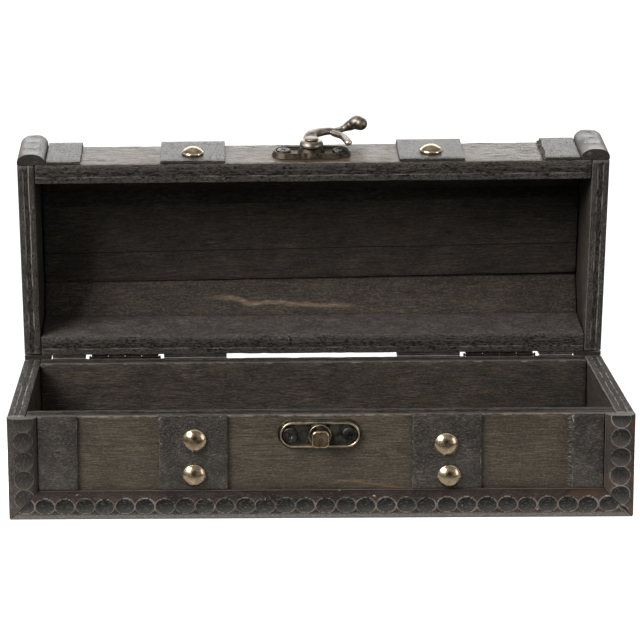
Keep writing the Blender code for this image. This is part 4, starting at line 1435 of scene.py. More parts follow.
@dataclass
class CoinMoulding:
    """One length of half-round moulding with a row of coins pressed into it."""

    name: str
    place: Matrix
    length: float
    first: EndCut
    last: EndCut
    first_coin: float = 6 * MM
    coin_pitch: float = 7.065 * MM
    coin_line: float = 5 * MM
    height: float = 4.2 * MM
    edge: float = 1 * MM
    coin_radius: float = 3.46 * MM
    squash: float = 1.24
    crisp: float = 1.0
    unworn: float = 0.0
    dish: float = 0.5 * MM
    bank: float = 0.12 * MM
    wobble: float = 0.1 * MM
    fade: float = 0.4 * MM
    ring_width: float = 0.19 * MM
    wear: float = 0.05 * MM
    # the upward direction, in (along, across), for the coins' painted shade
    skyward: Point = (0.0, 1.0)
    step: float = 0.26 * MM
    arch_steps: int = 34
    seed: float = 1.0
    surface: Surface = Surface.MOULDING
    cut: Surface = Surface.MOULDING

    def _coin(self, along: float, across: float) -> tuple[float, float, float, float]:
        """Return a place's relief, how much of a coin it is, how near an outline and how high in the coin.

        Args:
            along: The place along the moulding.
            across: The place across it.

        Returns:
            The relief in metres, the coin share, the outline share and the height from 0 to 1, which sets the
            coin's painted shade.
        """
        index = round((along - self.first_coin) / self.coin_pitch)
        centre = self.first_coin + index * self.coin_pitch
        wobble = self.wobble * math.sin(index * 2.4 + self.seed)
        offset = (along - centre - wobble, across - self.coin_line - wobble)
        away = math.hypot(offset[0], offset[1] * self.squash)
        radius = self.coin_radius * (1 + 0.02 * math.sin(index * 5.1 + self.seed * 3))
        share = clamped((radius - away) / self.fade + 0.5)
        share = share * share * (3 - 2 * share)
        ring = math.exp(-(((away - radius) / self.ring_width) ** 2))
        hollow = self.dish * (1 - min(away / radius, 1.0) ** 2)
        # height within the coin, from bottom to top, drives the painted shade
        height = (offset[0] * self.skyward[0] + offset[1] * self.skyward[1]) / (2 * radius) + 0.5
        return self.bank * (ring - 1) - hollow, share, ring, clamped(height)

    def build(self) -> Mesh:
        """Return the moulding's mesh with its layers set.

        Returns:
            The mesh.
        """
        shape = bmesh.new()
        width = SIZES.moulding_width
        margin = (width + self.height) * max(abs(self.first.across), abs(self.last.across), 0.6)
        pieces = round((self.length + 2 * margin) / self.step)
        loops = []
        marks = []
        for index in range(pieces + 1):
            along = -margin + (self.length + 2 * margin) * index / pieces
            loop = [Vector((along, 0, 0))]
            row = [(0.0, 0.0, 0.0, 0.0, 0.0)]
            for turn_step in range(self.arch_steps + 1):
                turn = math.pi * turn_step / self.arch_steps
                across = width / 2 * (1 - math.cos(turn))
                relief, coin, ring, painted_coin_shade = self._coin(along, across)
                swell = math.sin(turn)
                wear = self.wear * ripple(Vector((along, across, 0)), 260.0, self.seed)
                rise = (self.height - self.edge + relief + wear) * swell
                loop.append(Vector((along, across, self.edge + rise)))
                lit = 1.0 if turn_step in (0, 1, self.arch_steps - 1, self.arch_steps) else 0.0
                row.append((coin, ring * self.crisp, lit, max(across / width, self.unworn), painted_coin_shade))
            loop.append(Vector((along, width, 0)))
            row.append((0.0, 0.0, 0.0, 1.0, 0.0))
            loops.append(loop)
            marks.append(row)
        carried = (Layer.COIN, Layer.RING, Layer.RUB, Layer.ACROSS, Layer.PAINTED_COIN_SHADE)
        layers = [value_layer(shape, which) for which in carried]
        made = loft(shape, loops)
        for vertices, row in zip(made, marks):
            for vertex, values in zip(vertices, row):
                for layer, value in zip(layers, values):
                    vertex[layer] = value
        self._trim(shape, *self.first.plane(SIZES.seat_gap))
        point, normal = self.last.plane(SIZES.seat_gap)
        far = Vector((self.length - point.x, 0, 0))
        self._trim(shape, far, Vector((-normal.x, normal.y, normal.z)))
        board = vector_layer(shape, Layer.BOARD)
        shift = Vector((self.seed * 0.413, self.seed * 0.159, 0))
        for vertex in shape.verts:
            vertex[board] = vertex.co + shift
        return shape

    def _trim(self, shape: Mesh, point: Vector, normal: Vector) -> None:
        """Cut the moulding along a plane, keep the part behind it, close the cut and mark its rim.

        Args:
            shape: The moulding's mesh.
            point: A point on the plane.
            normal: The direction of what is cut away.
        """
        everything = list(shape.verts) + list(shape.edges) + list(shape.faces)
        cut = bmesh.ops.bisect_plane(
            shape, geom=everything, dist=WELD, plane_co=point, plane_no=normal, clear_outer=True
        )
        rim = [part for part in cut["geom_cut"] if isinstance(part, bmesh.types.BMEdge)]
        bmesh.ops.edgeloop_fill(shape, edges=rim, mat_nr=1)
        rub = value_layer(shape, Layer.RUB)
        for part in cut["geom_cut"]:
            if isinstance(part, bmesh.types.BMVert):
                part[rub] = 1.0


@dataclass
class Carcass:
    """The boards of the base and the lid."""

    sizes: ChestSizes
    slip_front: tuple[float, float] = (6.0 * MM, 3.0 * MM)
    slip_back: tuple[float, float] = (2.6 * MM, -0.3 * MM)
    close: float = 0.25 * MM

    def _base(self) -> list[Plank]:
        """Return the base's boards.

        Returns:
            The boards.
        """
        s = self.sizes
        half = s.inner_half - s.seat_gap
        wall = s.depth / 2 - s.wall_thickness
        top = s.base_height
        floor = wall - s.seat_gap
        front = box(-s.depth / 2, -wall, 0, top)
        back = [(-y, z + (self.close if z else 0.0)) for y, z in front]
        end = box(-s.depth / 2, s.depth / 2, 0, top)
        bottom = box(-floor, floor, 0, s.bottom_thickness)
        side_surfaces = (Surface.SIDE, Surface.SIDE_EDGE, Surface.INSIDE)
        return [
            Plank("base_front", front, -half, half, -Y, X, top, seed=1.3),
            Plank("base_back", back, -half, half, Y, X, top, seed=2.7),
            Plank("base_left_end", end, -s.width / 2, -s.inner_half, -X, Y, top, side_surfaces, seed=3.9),
            Plank("base_right_end", end, s.inner_half, s.width / 2, X, Y, top, side_surfaces, seed=5.2),
            Plank("base_bottom", bottom, -half, half, -Z, X, top, seed=6.1),
        ]

    def _lid(self) -> list[Plank]:
        """Return the lid's boards, in the lid's own frame.

        Returns:
            The boards.
        """
        s = self.sizes
        corners = s.lid_corners()
        half = s.inner_half - s.seat_gap
        front, back = corners[0].x, corners[-1].x
        rim, eaves, ridge = corners[0].y, corners[1].y, corners[2].y
        angle = math.atan2(s.lid_height - s.lid_wall_height, s.slope_run)
        lean = math.tan(angle)
        plumb = s.slope_thickness / math.cos(angle)
        inner_eaves = eaves - plumb + s.wall_thickness * lean
        fit = s.seat_gap / 2
        wall = [
            (front, rim),
            (front + s.wall_thickness, rim),
            (front + s.wall_thickness, inner_eaves - fit),
            (front, eaves - fit),
        ]
        slope = [
            (front, eaves + fit),
            (front + s.wall_thickness, inner_eaves + fit),
            (front + s.slope_run - fit, ridge - plumb - fit * lean),
            (front + s.slope_run - fit, ridge - fit * lean),
        ]
        top = box(front + s.slope_run + fit, back - s.slope_run - fit, ridge - s.top_thickness, ridge)
        end = [tuple(corner) for corner in corners]
        tilt = Vector((0, -math.sin(angle), math.cos(angle)))
        tilt_back = Vector((0, -tilt.y, tilt.z))
        lid_surfaces = (Surface.SIDE, Surface.LID_SIDE_EDGE, Surface.INSIDE)
        # painted shade: the near-black inner finish goes on the inner faces of the lid's front board and
        # front slope, and on the top board's edges
        dark_surfaces = (Surface.LID_PANEL, Surface.LID_EDGE, Surface.PAINTED_SHADE_INSIDE)
        # painted light: the lid's back board gets the lighter inner finish on its inner face
        back_surfaces = (Surface.LID_PANEL, Surface.LID_EDGE, Surface.PAINTED_LIGHT_SHELF)
        slope_surfaces = (Surface.LID_PANEL, Surface.LID_EDGE, Surface.SLOPE)
        top_surfaces = (Surface.LID_PANEL, Surface.PAINTED_SHADE_INSIDE, Surface.CEILING)

        def mirrored(points: list[Point]) -> list[Point]:
            """Return an outline's mirror image at the back."""
            return [(front + back - y, z) for y, z in points]

        rear = [(y + (self.close if y > back - fit else 0.0), z) for y, z in mirrored(wall)]
        return [
            Plank("lid_front", wall, -half, half, -Y, X, rim, dark_surfaces, seed=7.4),
            Plank("lid_back", rear, -half, half, Y, X, rim, back_surfaces, seed=8.8),
            Plank("lid_front_slope", slope, -half, half, tilt, X, rim, dark_surfaces, seed=9.6),
            Plank(
                "lid_back_slope", mirrored(slope), -half, half, tilt_back, X, rim, slope_surfaces, seed=10.5,
            ),
            Plank("lid_top", top, -half, half, Z, X, rim, top_surfaces, seed=11.7),
            Plank("lid_left_end", end, -s.width / 2, -s.inner_half, -X, Y, rim, lid_surfaces, seed=12.3),
            Plank("lid_right_end", end, s.inner_half, s.width / 2, X, Y, rim, lid_surfaces, seed=13.9),
        ]

    def _slip(self, shape: Mesh) -> Mesh:
        """Slide the inner face of the lid's top board, which was set in a little askew.

        Args:
            shape: The board's mesh in the lid's frame.

        Returns:
            The same mesh.
        """
        s = self.sizes
        corners = s.lid_corners()
        front, back = corners[2].x, corners[3].x
        for vertex in shape.verts:
            deep = clamped((corners[2].y - vertex.co.z) / s.top_thickness)
            if deep < 0.5:
                continue
            right = vertex.co.x / s.width + 0.5
            rear = (vertex.co.y - front) / (back - front)
            ahead = self.slip_front[0] + (self.slip_front[1] - self.slip_front[0]) * right
            behind = self.slip_back[0] + (self.slip_back[1] - self.slip_back[0]) * right
            vertex.co.y += (ahead + (behind - ahead) * rear) * (deep - 0.5) * 2
        return shape

    def build(self, bench: Bench) -> None:
        """Put every board in place of its node.

        Args:
            bench: Where the pieces are put together.
        """
        for body, planks, place in (
            (Body.BASE, self._base(), None),
            (Body.LID, self._lid(), self.sizes.lid_place),
        ):
            for plank in planks:
                shape = plank.build()
                if plank.name == "lid_top":
                    shape = self._slip(shape)
                name = plank.name + "_board"
                bench.put(name, shape, body, plank.surfaces, [plank.name], place)


@dataclass
class Strapwork:
    """The straps, the end strips and the torn fibres along their edges."""

    sizes: ChestSizes
    torn_right: Point = (0.9 * MM, 0.15 * MM)
    torn_base_left: Point = (0.12 * MM, 0.18 * MM)
    torn_lid_left: Point = (0.12 * MM, 0.35 * MM)
    base_fibres: int = 70
    lid_fibres: int = 46

    def _base(self) -> list[Ribbon]:
        """Return the straps and strips of the base.

        Returns:
            The ribbons.
        """
        s = self.sizes
        half = s.strap_width / 2
        front = [Vector((-s.depth / 2, s.trim_bottom)), Vector((-s.depth / 2, s.base_height))]
        back = [Vector((s.depth / 2, s.base_height)), Vector((s.depth / 2, s.back_strap_lift))]
        strips = {
            "left": (-s.strip_edge, -s.strip_edge + s.front_strip_left),
            "right": (s.strip_edge - s.front_strip_right, s.strip_edge),
        }
        made = []
        for side, sign in SIDES:
            strap = (sign * s.strap_centre - half, sign * s.strap_centre + half)
            rear = sorted((sign * s.strip_edge, sign * (s.strip_edge - s.back_strip_width)))
            torn = self.torn_right if sign > 0 else self.torn_base_left
            made += [
                Ribbon("base_front_strap_" + side, front, *strap, seed=2.1 + sign),
                Ribbon("base_front_end_strip_" + side, front, *strips[side], ragged=torn, seed=4.6 + sign),
                Ribbon("base_back_strap_" + side, back, *strap, square=(True, False), seed=6.3 + sign),
                Ribbon("base_back_end_strip_" + side, back, *rear, square=(True, False), seed=8.9 + sign),
            ]
        return made

    def _lid(self) -> list[Ribbon]:
        """Return the straps and strips that fold over the lid.

        Returns:
            The ribbons.
        """
        s = self.sizes
        path = s.lid_corners()
        half = s.strap_width / 2
        made = []
        for side, sign in SIDES:
            strap = (sign * s.strap_centre - half, sign * s.strap_centre + half)
            rear = sorted((sign * s.strip_edge, sign * (s.strip_edge - s.lid_strip_width)))
            torn = self.torn_right if sign > 0 else self.torn_lid_left
            square = (False, True)
            made += [
                Ribbon("lid_strap_" + side, path, *strap, square=square, seed=11.2 + sign),
                Ribbon("lid_end_strip_" + side, path, *rear, ragged=torn, square=square, seed=13.5 + sign),
            ]
        return made

    def build(self, bench: Bench) -> None:
        """Put every strap and strip in place of its node, then the torn fibres beside two of them.

        Args:
            bench: Where the pieces are put together.
        """
        for body, ribbons, place in (
            (Body.BASE, self._base(), None),
            (Body.LID, self._lid(), self.sizes.lid_place),
        ):
            for ribbon in ribbons:
                name = ribbon.name + "_veneer"
                bench.put(name, ribbon.build(), body, [Surface.STRAP], [ribbon.name], place)
        s = self.sizes
        self._fringe(
            bench, "base_strip_splinters", Body.BASE, None,
            s.strip_edge - s.front_strip_right, -s.depth / 2, s.trim_bottom, s.base_height, self.base_fibres,
        )
        front = s.lid_corners()[0]
        self._fringe(
            bench, "lid_strip_splinters", Body.LID, s.lid_place,
            s.strip_edge - s.lid_strip_width, front.x, front.y, front.y + s.lid_wall_height, self.lid_fibres,
        )

    def _fringe(
        self, bench: Bench, name: str, body: Body, place: Matrix | None,
        edge: float, face: float, low: float, high: float, count: int,
    ) -> None:
        """Lay torn fibres along the left edge of a strip.

        Args:
            bench: Where the piece is put together.
            name: The piece's name.
            body: The body it rides on.
            place: The frame it is built in.
            edge: Where the strip's edge runs.
            face: Where the wood's face lies.
            low: The lower end of the edge.
            high: The upper end of the edge.
            count: How many fibres there are.
        """
        shape = bmesh.new()
        board = vector_layer(shape, Layer.BOARD)
        rub = value_layer(shape, Layer.RUB)
        lift = self.sizes.seat_gap
        for index in range(count):
            guide = Vector((index * 0.137, 0, 0))
            level = low + (high - low) * (index + 0.5) / count
            reach = (0.6 + 2.2 * abs(ripple(guide, 9.0, 3.0))) * MM
            slant = 0.9 * ripple(guide, 11.0, 5.0) * MM
            thick = (0.18 + 0.22 * abs(ripple(guide, 7.0, 9.0))) * MM
            rise = (0.15 + 0.7 * abs(ripple(guide, 5.0, 1.0))) * MM
            root = Vector((edge + 0.6 * MM, face - lift - rise * 0.5, level))
            tip = Vector((edge - reach, face - thick - rise * 0.4, level + slant))
            along = (tip - root).normalized()
            aside = along.cross(Y).normalized()
            over = aside.cross(along)
            loops = []
            for share, size in ((0.0, 0.7), (0.35, 1.0), (0.75, 0.6), (1.0, 0.12)):
                centre = root.lerp(tip, share) - Y * rise * share * (1 - share)
                loop = []
                for corner in range(5):
                    turn = math.tau * corner / 5
                    loop.append(centre + (aside * math.cos(turn) + over * math.sin(turn)) * thick * size)
                loops.append(loop)
            for row in loft(shape, loops):
                for vertex in row:
                    vertex[board] = vertex.co + Vector((index * 0.011, 0, 0))
                    vertex[rub] = 0.6
        bench.put(name, shape, body, [Surface.SPLINTER], place=place)


@dataclass
class Mouldings:
    """The coin-bead mouldings of the base's front and of the lid's ends."""

    sizes: ChestSizes

    @staticmethod
    def frame(origin: Vector, along: Vector, across: Vector) -> Matrix:
        """Return the frame with these first two axes and the third square to them."""
        turn = Matrix((along, across, along.cross(across))).transposed().to_4x4()
        return Matrix.Translation(origin) @ turn

    def _base(self) -> list[CoinMoulding]:
        """Return the three mouldings of the base's front.

        Returns:
            The mouldings.
        """
        s = self.sizes
        seat = -s.depth / 2 - s.seat_gap
        square = EndCut()
        mitre = EndCut(across=1)
        bottom = self.frame(Vector((-s.width / 2, seat, 0)), X, Z)
        left = self.frame(Vector((-s.width / 2, seat, s.base_height)), -Z, X)
        right = self.frame(Vector((s.width / 2, seat, 0)), Z, -X)
        height = s.base_height
        return [
            CoinMoulding(
                "base_bottom_moulding", bottom, s.width, mitre, mitre, 5.94 * MM, coin_line=5.5 * MM,
            ),
            CoinMoulding(
                "base_corner_moulding_left", left, height, square, mitre, 1.0 * MM, 7.05 * MM,
                5.8 * MM, squash=1.0, crisp=0.8, unworn=0.32, skyward=(-1.0, 0.0), seed=2.4,
                surface=Surface.WORN_MOULDING, cut=Surface.WORN_MOULDING,
            ),
            CoinMoulding(
                "base_corner_moulding_right", right, height, mitre, square, 1.8 * MM, 6.93 * MM,
                5.2 * MM, squash=1.0, crisp=0.9, unworn=0.32, skyward=(1.0, 0.0), seed=3.3,
                surface=Surface.RUSTY_MOULDING, cut=Surface.RUSTY_MOULDING,
            ),
        ]

    def _lid(self) -> list[CoinMoulding]:
        """Return the five mouldings over each end of the lid.

        Returns:
            The mouldings.
        """
        s = self.sizes
        corners = s.lid_corners()
        edges = list(zip(corners, corners[1:]))
        normals = []
        for first, second in edges:
            along = (second - first).normalized()
            normals.append(Vector((-along.y, along.x)))
        folds = [0.0]
        for before, after in zip(normals, normals[1:]):
            folds.append(math.tan(before.angle(after) / 2))
        folds.append(0.0)
        names = ("front", "front_slope", "top", "back_slope", "back")
        made = []
        for index, ((first, second), normal) in enumerate(zip(edges, normals)):
            along = (second - first).normalized()
            for side, sign in SIDES:
                start = (first if sign > 0 else second) + normal * s.seat_gap
                forward = Vector((0, along.x * sign, along.y * sign))
                origin = Vector((sign * s.width / 2, start.x, start.y))
                cuts = [EndCut(out=folds[index]), EndCut(out=folds[index + 1])]
                if sign < 0:
                    cuts.reverse()
                made.append(CoinMoulding(
                    "lid_moulding_" + names[index] + "_" + side, self.frame(origin, forward, -sign * X),
                    (second - first).length, cuts[0], cuts[1], first_coin=(3.1 + 0.7 * index) * MM,
                    crisp=0.8, unworn=0.32, dish=0.24 * MM, bank=0.07 * MM, seed=4.1 + index + 0.5 * sign,
                    # the cut ends get the painted shade finish
                    surface=Surface.LID_MOULDING, cut=Surface.PAINTED_SHADE_INSIDE,
                ))
        return made

    def build(self, bench: Bench) -> None:
        """Put every moulding in place of its node.

        Args:
            bench: Where the pieces are put together.
        """
        for body, mouldings, place in (
            (Body.BASE, self._base(), Matrix.Identity(4)),
            (Body.LID, self._lid(), self.sizes.lid_place),
        ):
            for moulding in mouldings:
                bench.put(
                    moulding.name + "_bead", moulding.build(), body,
                    [moulding.surface, moulding.cut], [moulding.name], place @ moulding.place, 50.0,
                )


@dataclass
class DomeNails:
    """The domed brass nails on the straps."""

    sizes: ChestSizes
    radius: float = 4.2 * MM
    rise: float = 2.5 * MM
    edge: float = 0.5 * MM
    sides: int = 56
    dome_steps: int = 16
    lower_gaps: Point = (1.1 * MM, 0.4 * MM)
    lower_offsets: Point = (0.2 * MM, 0.8 * MM)
    upper_offsets: Point = (0.5 * MM, -0.3 * MM)
    upper_shares: Point = (0.595, 0.523)
    lid_rise: float = 7.5 * MM

    def _head(self, seed: float) -> Mesh:
        """Return one nail head that stands up along Z, with a thin rolled edge and faint dents.

        Args:
            seed: Which pattern of dents it has.

        Returns:
            The mesh.
        """
        profile = []
        dome = self.rise - self.edge
        ball = (self.radius ** 2 + dome ** 2) / (2 * dome)
        widest = math.asin(self.radius / ball)
        for step in range(self.dome_steps + 1):
            turn = widest * step / self.dome_steps
            profile.append((ball * math.sin(turn), self.rise - ball * (1 - math.cos(turn))))
        profile += [(self.radius, self.edge * 0.5), (self.radius * 0.985, 0.0), (0, 0)]
        shape = lathe(profile, self.sides)
        mark_rubbed(shape, 2.2 * MM)
        for vertex in shape.verts:
            if vertex.co.z > self.edge:
                vertex.co.z += 0.02 * MM * ripple(vertex.co, 900.0, seed)
        return shape

    def _spots(self) -> list[tuple[str, Body, Matrix]]:
        """Return each nail's node, body and place.

        Returns:
            A node, a body and a place for each.
        """
        s = self.sizes
        face = -s.depth / 2 - s.strap_proud - s.seat_gap
        corners = s.lid_corners()
        lift = s.strap_proud + s.seat_gap
        spots = []
        for index, (side, sign) in enumerate(SIDES):
            centre = sign * s.strap_centre
            lower = s.trim_bottom + self.lower_gaps[index] + self.radius
            upper = lower + self.upper_shares[index] * (s.base_height - lower)
            low_spot = Matrix.Translation((centre + self.lower_offsets[index], face, lower))
            high_spot = Matrix.Translation((centre + self.upper_offsets[index], face, upper))
            spots.append((f"base_nail_{side}_lower", Body.BASE, low_spot @ FACING_FRONT))
            spots.append((f"base_nail_{side}_upper", Body.BASE, high_spot @ FACING_FRONT))
            front = Matrix.Translation((centre, corners[0].x - lift, corners[0].y + self.lid_rise))
            middle = (corners[2].x + corners[3].x) / 2
            top = Matrix.Translation((centre, middle, corners[2].y + lift))
            spots.append((f"lid_front_nail_{side}", Body.LID, s.lid_place @ front @ FACING_FRONT))
            spots.append((f"lid_top_nail_{side}", Body.LID, s.lid_place @ top))
        return spots

    def build(self, bench: Bench) -> None:
        """Put every nail in place of its node.

        Args:
            bench: Where the pieces are put together.
        """
        for index, (node, body, place) in enumerate(self._spots()):
            head = self._head(index + 1.0)
            bench.put(node + "_dome", head, body, [Surface.NAIL], [node], place, 60.0)


@dataclass
class CrossScrew:
    """A low screw head with a crosshead recess, standing along Z on its foot."""

    radius: float = 2.65 * MM
    height: float = 0.8 * MM
    arm: float = 1.35 * MM
    slot: float = 0.3 * MM
    depth: float = 0.5 * MM
    sides: int = 40

    def build(self) -> Mesh:
        """Return the head's mesh.

        Returns:
            The mesh.
        """
        r, h = self.radius, self.height
        profile = [
            (0, h), (r * 0.78, h), (r * 0.9, h * 0.93), (r * 0.97, h * 0.72), (r, h * 0.4), (r, 0), (0, 0),
        ]
        head = lathe(profile, self.sides)
        recess = bmesh.new()
        quarter = [(self.arm, -self.slot), (self.arm, self.slot), (self.slot, self.slot)]
        cross = []
        for _ in range(4):
            cross += quarter
            quarter = [(-y, x) for x, y in quarter]
        low = [Vector((x * 0.55, y * 0.55, h - self.depth)) for x, y in cross]
        high = [Vector((x * 1.2, y * 1.2, h + self.depth * 0.4)) for x, y in cross]
        loft(recess, [low, high])
        return worked(head, cut_out, recess)


@dataclass
class LatchSet:
    """The catch on the base, and the plate, rivet and swan-neck hook on the lid."""

    sizes: ChestSizes
    plate_length: float = 29.6 * MM
    plate_width: float = 10.8 * MM
    floor: float = 1.1 * MM
    boss_foot: float = 4.9 * MM
    cone_foot: float = 5.6 * MM
    cone_sole: float = 0.3 * MM
    boss_radius: float = 4 * MM
    boss_height: float = 3.2 * MM
    screw_x: float = 10.4 * MM
    pivot_rise: float = 9.3 * MM
    stud_drop: float = 6.9 * MM
    neck_radius: float = 1.4 * MM
    knob_size: float = 6.1 * MM
    knob_corner: float = 1.8 * MM
    knob_thickness: float = 1.9 * MM
    hook_level: float = 5 * MM
    hook_clearance: float = 0.35 * MM
    stud_angle: float = 43
    eye_foot_radius: float = 4.4 * MM
    eye_top_radius: float = 3.3 * MM
    eye_height: float = 2.4 * MM
    swan_width: float = 4.2 * MM
    swan_height: float = 3.2 * MM
    swan_lift: float = 0.5 * MM
    fork_width: float = 3.2 * MM
    fork_height: float = 1.9 * MM
    fork_sag: float = 0.28 * MM
    prong_width: float = 2.5 * MM
    jaw_width: float = 3 * MM
    bulb_width: float = 5.8 * MM
    bulb_height: float = 5.6 * MM
    bulb_lift: float = 2.5 * MM
    rivet_radius: float = 1.2 * MM
    rivet_clearance: float = 0.15 * MM
    rivet_head: float = 2.6 * MM
    rivet_rise: float = 0.7 * MM
    voxel: float = 0.16 * MM
    arm_steps: int = 10
    arm_sides: int = 26

    @property
    def catch_place(self) -> Matrix:
        """The catch's frame: X along the plate, Z out of the wood."""
        spot = (0, -self.sizes.depth / 2, self.sizes.base_height - self.stud_drop)
        return Matrix.Translation(spot) @ FACING_FRONT

    @property
    def latch_place(self) -> Matrix:
        """The latch's frame on the lid, its Z along the rivet.

        Returns:
            The frame.
        """
        corner = self.sizes.lid_corners()[0]
        spot = Matrix.Translation((0, corner.x, corner.y + self.pivot_rise))
        return self.sizes.lid_place @ spot @ FACING_FRONT

    @property
    def eye_foot(self) -> float:
        """The level of the hook's underside at its eye."""
        return self.boss_height + self.sizes.seat_gap

    @property
    def eye_top(self) -> float:
        """The level of the top of the hook's eye."""
        return self.eye_foot + self.eye_height

    @property
    def reach(self) -> float:
        """How far the knob lies from the rivet with the lid shut."""
        return self.pivot_rise + self.sizes.rim_gap + self.stud_drop

    @property
    def knob_foot(self) -> float:
        """The level of the knob's underside."""
        return self.hook_level + self.fork_height / 2 + self.hook_clearance

    def _stack(self, length: float, width: float, corner: float, levels: Sequence[Point], steps: int) -> Mesh:
        """Skin one round-cornered outline drawn in by steps.

        Args:
            length: The outline's length.
            width: Its width.
            corner: Its corner radius.
            levels: How far it is drawn in and how high it lies, loop by loop.
            steps: How many sides each corner has.

        Returns:
            The mesh.
        """
        shape = bmesh.new()
        loops = []
        for drawn, height in levels:
            radius = max(corner - drawn, 0.05 * MM)
            outline = rounded_outline(length - 2 * drawn, width - 2 * drawn, radius, steps)
            loops.append([Vector((across, up, height)) for across, up in outline])
        loft(shape, loops)
        bmesh.ops.remove_doubles(shape, verts=shape.verts, dist=WELD)
        return shape

    def _plate(self, foot: float, sole: float, spill: float) -> Mesh:
        """Return a round-ended plate with drafted sides, a rolled rim and a flared boss.

        Args:
            foot: The radius of the boss at its foot.
            sole: The level of its foot.
            spill: How high up the boss starts to flare, as a share of its rise.

        Returns:
            The mesh.
        """
        levels = [
            (0.0, 0.3), (0.06, 0.42), (0.62, 1.5), (0.78, 1.78), (0.88, 1.93), (1.02, 2.0), (1.2, 2.02),
            (1.36, 1.97), (1.46, 1.84), (1.52, 1.6), (1.58, 1.32), (1.72, 1.15), (2.0, 1.1), (2.6, 1.1),
        ]
        levels = [(drawn * MM, height * MM) for drawn, height in levels]
        plate = self._stack(self.plate_length, self.plate_width, self.plate_width / 2, levels, 14)
        mark_rubbed(plate, 0.55 * MM, 1)
        flare = foot - self.boss_radius
        rise = self.boss_height - sole
        profile = [
            (0, self.boss_height), (self.boss_radius * 0.8, self.boss_height),
            (self.boss_radius * 0.93, self.boss_height - 0.04 * MM),
            (self.boss_radius * 0.985, self.boss_height - 0.16 * MM),
            (self.boss_radius, self.boss_height - 0.36 * MM),
            (self.boss_radius + flare * 0.1, sole + rise * spill),
            (self.boss_radius + flare * 0.45, sole + rise * spill * 0.62),
            (self.boss_radius + flare * 0.78, sole + rise * spill * 0.28),
            (foot, sole * 0.96), (foot, sole * 0.6), (0, sole * 0.6),
        ]
        boss = lathe(profile, 56)
        mark_rubbed(boss, 0.5 * MM, 1)
        return joined([plate, boss])

    def _knob(self) -> Mesh:
        """Return the catch's knob: a round neck and a rounded square button.

        Returns:
            The mesh.
        """
        foot = self.knob_foot
        top = foot + self.knob_thickness
        levels = [
            (0.55 * MM, foot), (0.2 * MM, foot + 0.1 * MM), (0.04 * MM, foot + 0.36 * MM),
            (0.0, foot + 0.7 * MM),
            (0.0, top - 0.62 * MM), (0.05 * MM, top - 0.36 * MM), (0.2 * MM, top - 0.13 * MM),
            (0.45 * MM, top - 0.02 * MM), (0.75 * MM, top), (1.1 * MM, top - 0.05 * MM),
            (1.7 * MM, top - 0.09 * MM),
        ]
        button = self._stack(self.knob_size, self.knob_size, self.knob_corner, levels, 10)
        mark_rubbed(button, 0.55 * MM, 1)
        start = self.eye_foot
        r = self.neck_radius
        neck = lathe([
            (0, start), (r * 1.25, start), (r * 1.05, start + 0.35 * MM), (r, start + 0.8 * MM),
            (r, foot + 0.6 * MM), (0, foot + 0.6 * MM),
        ], 32)
        mark_rubbed(neck, 0.4 * MM)
        return joined([button, neck])

    def _arm(self, bends: Sequence[tuple[float, float, float, float, float]]) -> Mesh:
        """Return a round-ended arm of oval section along a smooth path round the rivet.

        Args:
            bends: The radius, the angle in degrees and the level of each place that it runs through,
                with the width and the height of its section there.

        Returns:
            The mesh.
        """
        controls = []
        for radius, degrees, level, width, height in bends:
            turn = math.radians(degrees)
            spot = Vector((radius * math.cos(turn), radius * math.sin(turn), level))
            controls.append((spot, Vector((width / 2, height / 2))))
        padded = [controls[0], *controls, controls[-1]]
        samples = []
        for before, first, second, after in zip(padded, padded[1:], padded[2:], padded[3:]):
            for step in range(self.arm_steps):
                t = step / self.arm_steps
                spot = (
                    first[0]
                    + (second[0] - before[0]) * (t / 2)
                    + (before[0] * 2 - first[0] * 5 + second[0] * 4 - after[0]) * (t * t / 2)
                    + (first[0] * 3 - before[0] - second[0] * 3 + after[0]) * (t ** 3 / 2)
                )
                samples.append((spot, first[1].lerp(second[1], t * t * (3 - 2 * t))))
        samples.append(controls[-1])
        rings = []
        for index, (spot, half) in enumerate(samples):
            ahead = samples[min(index + 1, len(samples) - 1)][0] - samples[max(index - 1, 0)][0]
            rings.append((spot, ahead.normalized(), half))
        for sign in (-1, 1):
            spot, ahead, half = rings[0] if sign < 0 else rings[-1]
            caps = []
            for degrees in (15, 30, 45, 60, 72, 83):
                lean = math.radians(degrees)
                caps.append((spot + ahead * sign * half.x * math.sin(lean), ahead, half * math.cos(lean)))
            rings = rings + caps if sign > 0 else caps[::-1] + rings
        loops = []
        for spot, ahead, half in rings:
            aside = ahead.cross(Z).normalized()
            over = aside.cross(ahead)
            turns = [math.tau * step / self.arm_sides for step in range(self.arm_sides)]
            loops.append([spot + aside * half.x * math.cos(t) + over * half.y * math.sin(t) for t in turns])
        shape = bmesh.new()
        loft(shape, loops)
        return shape

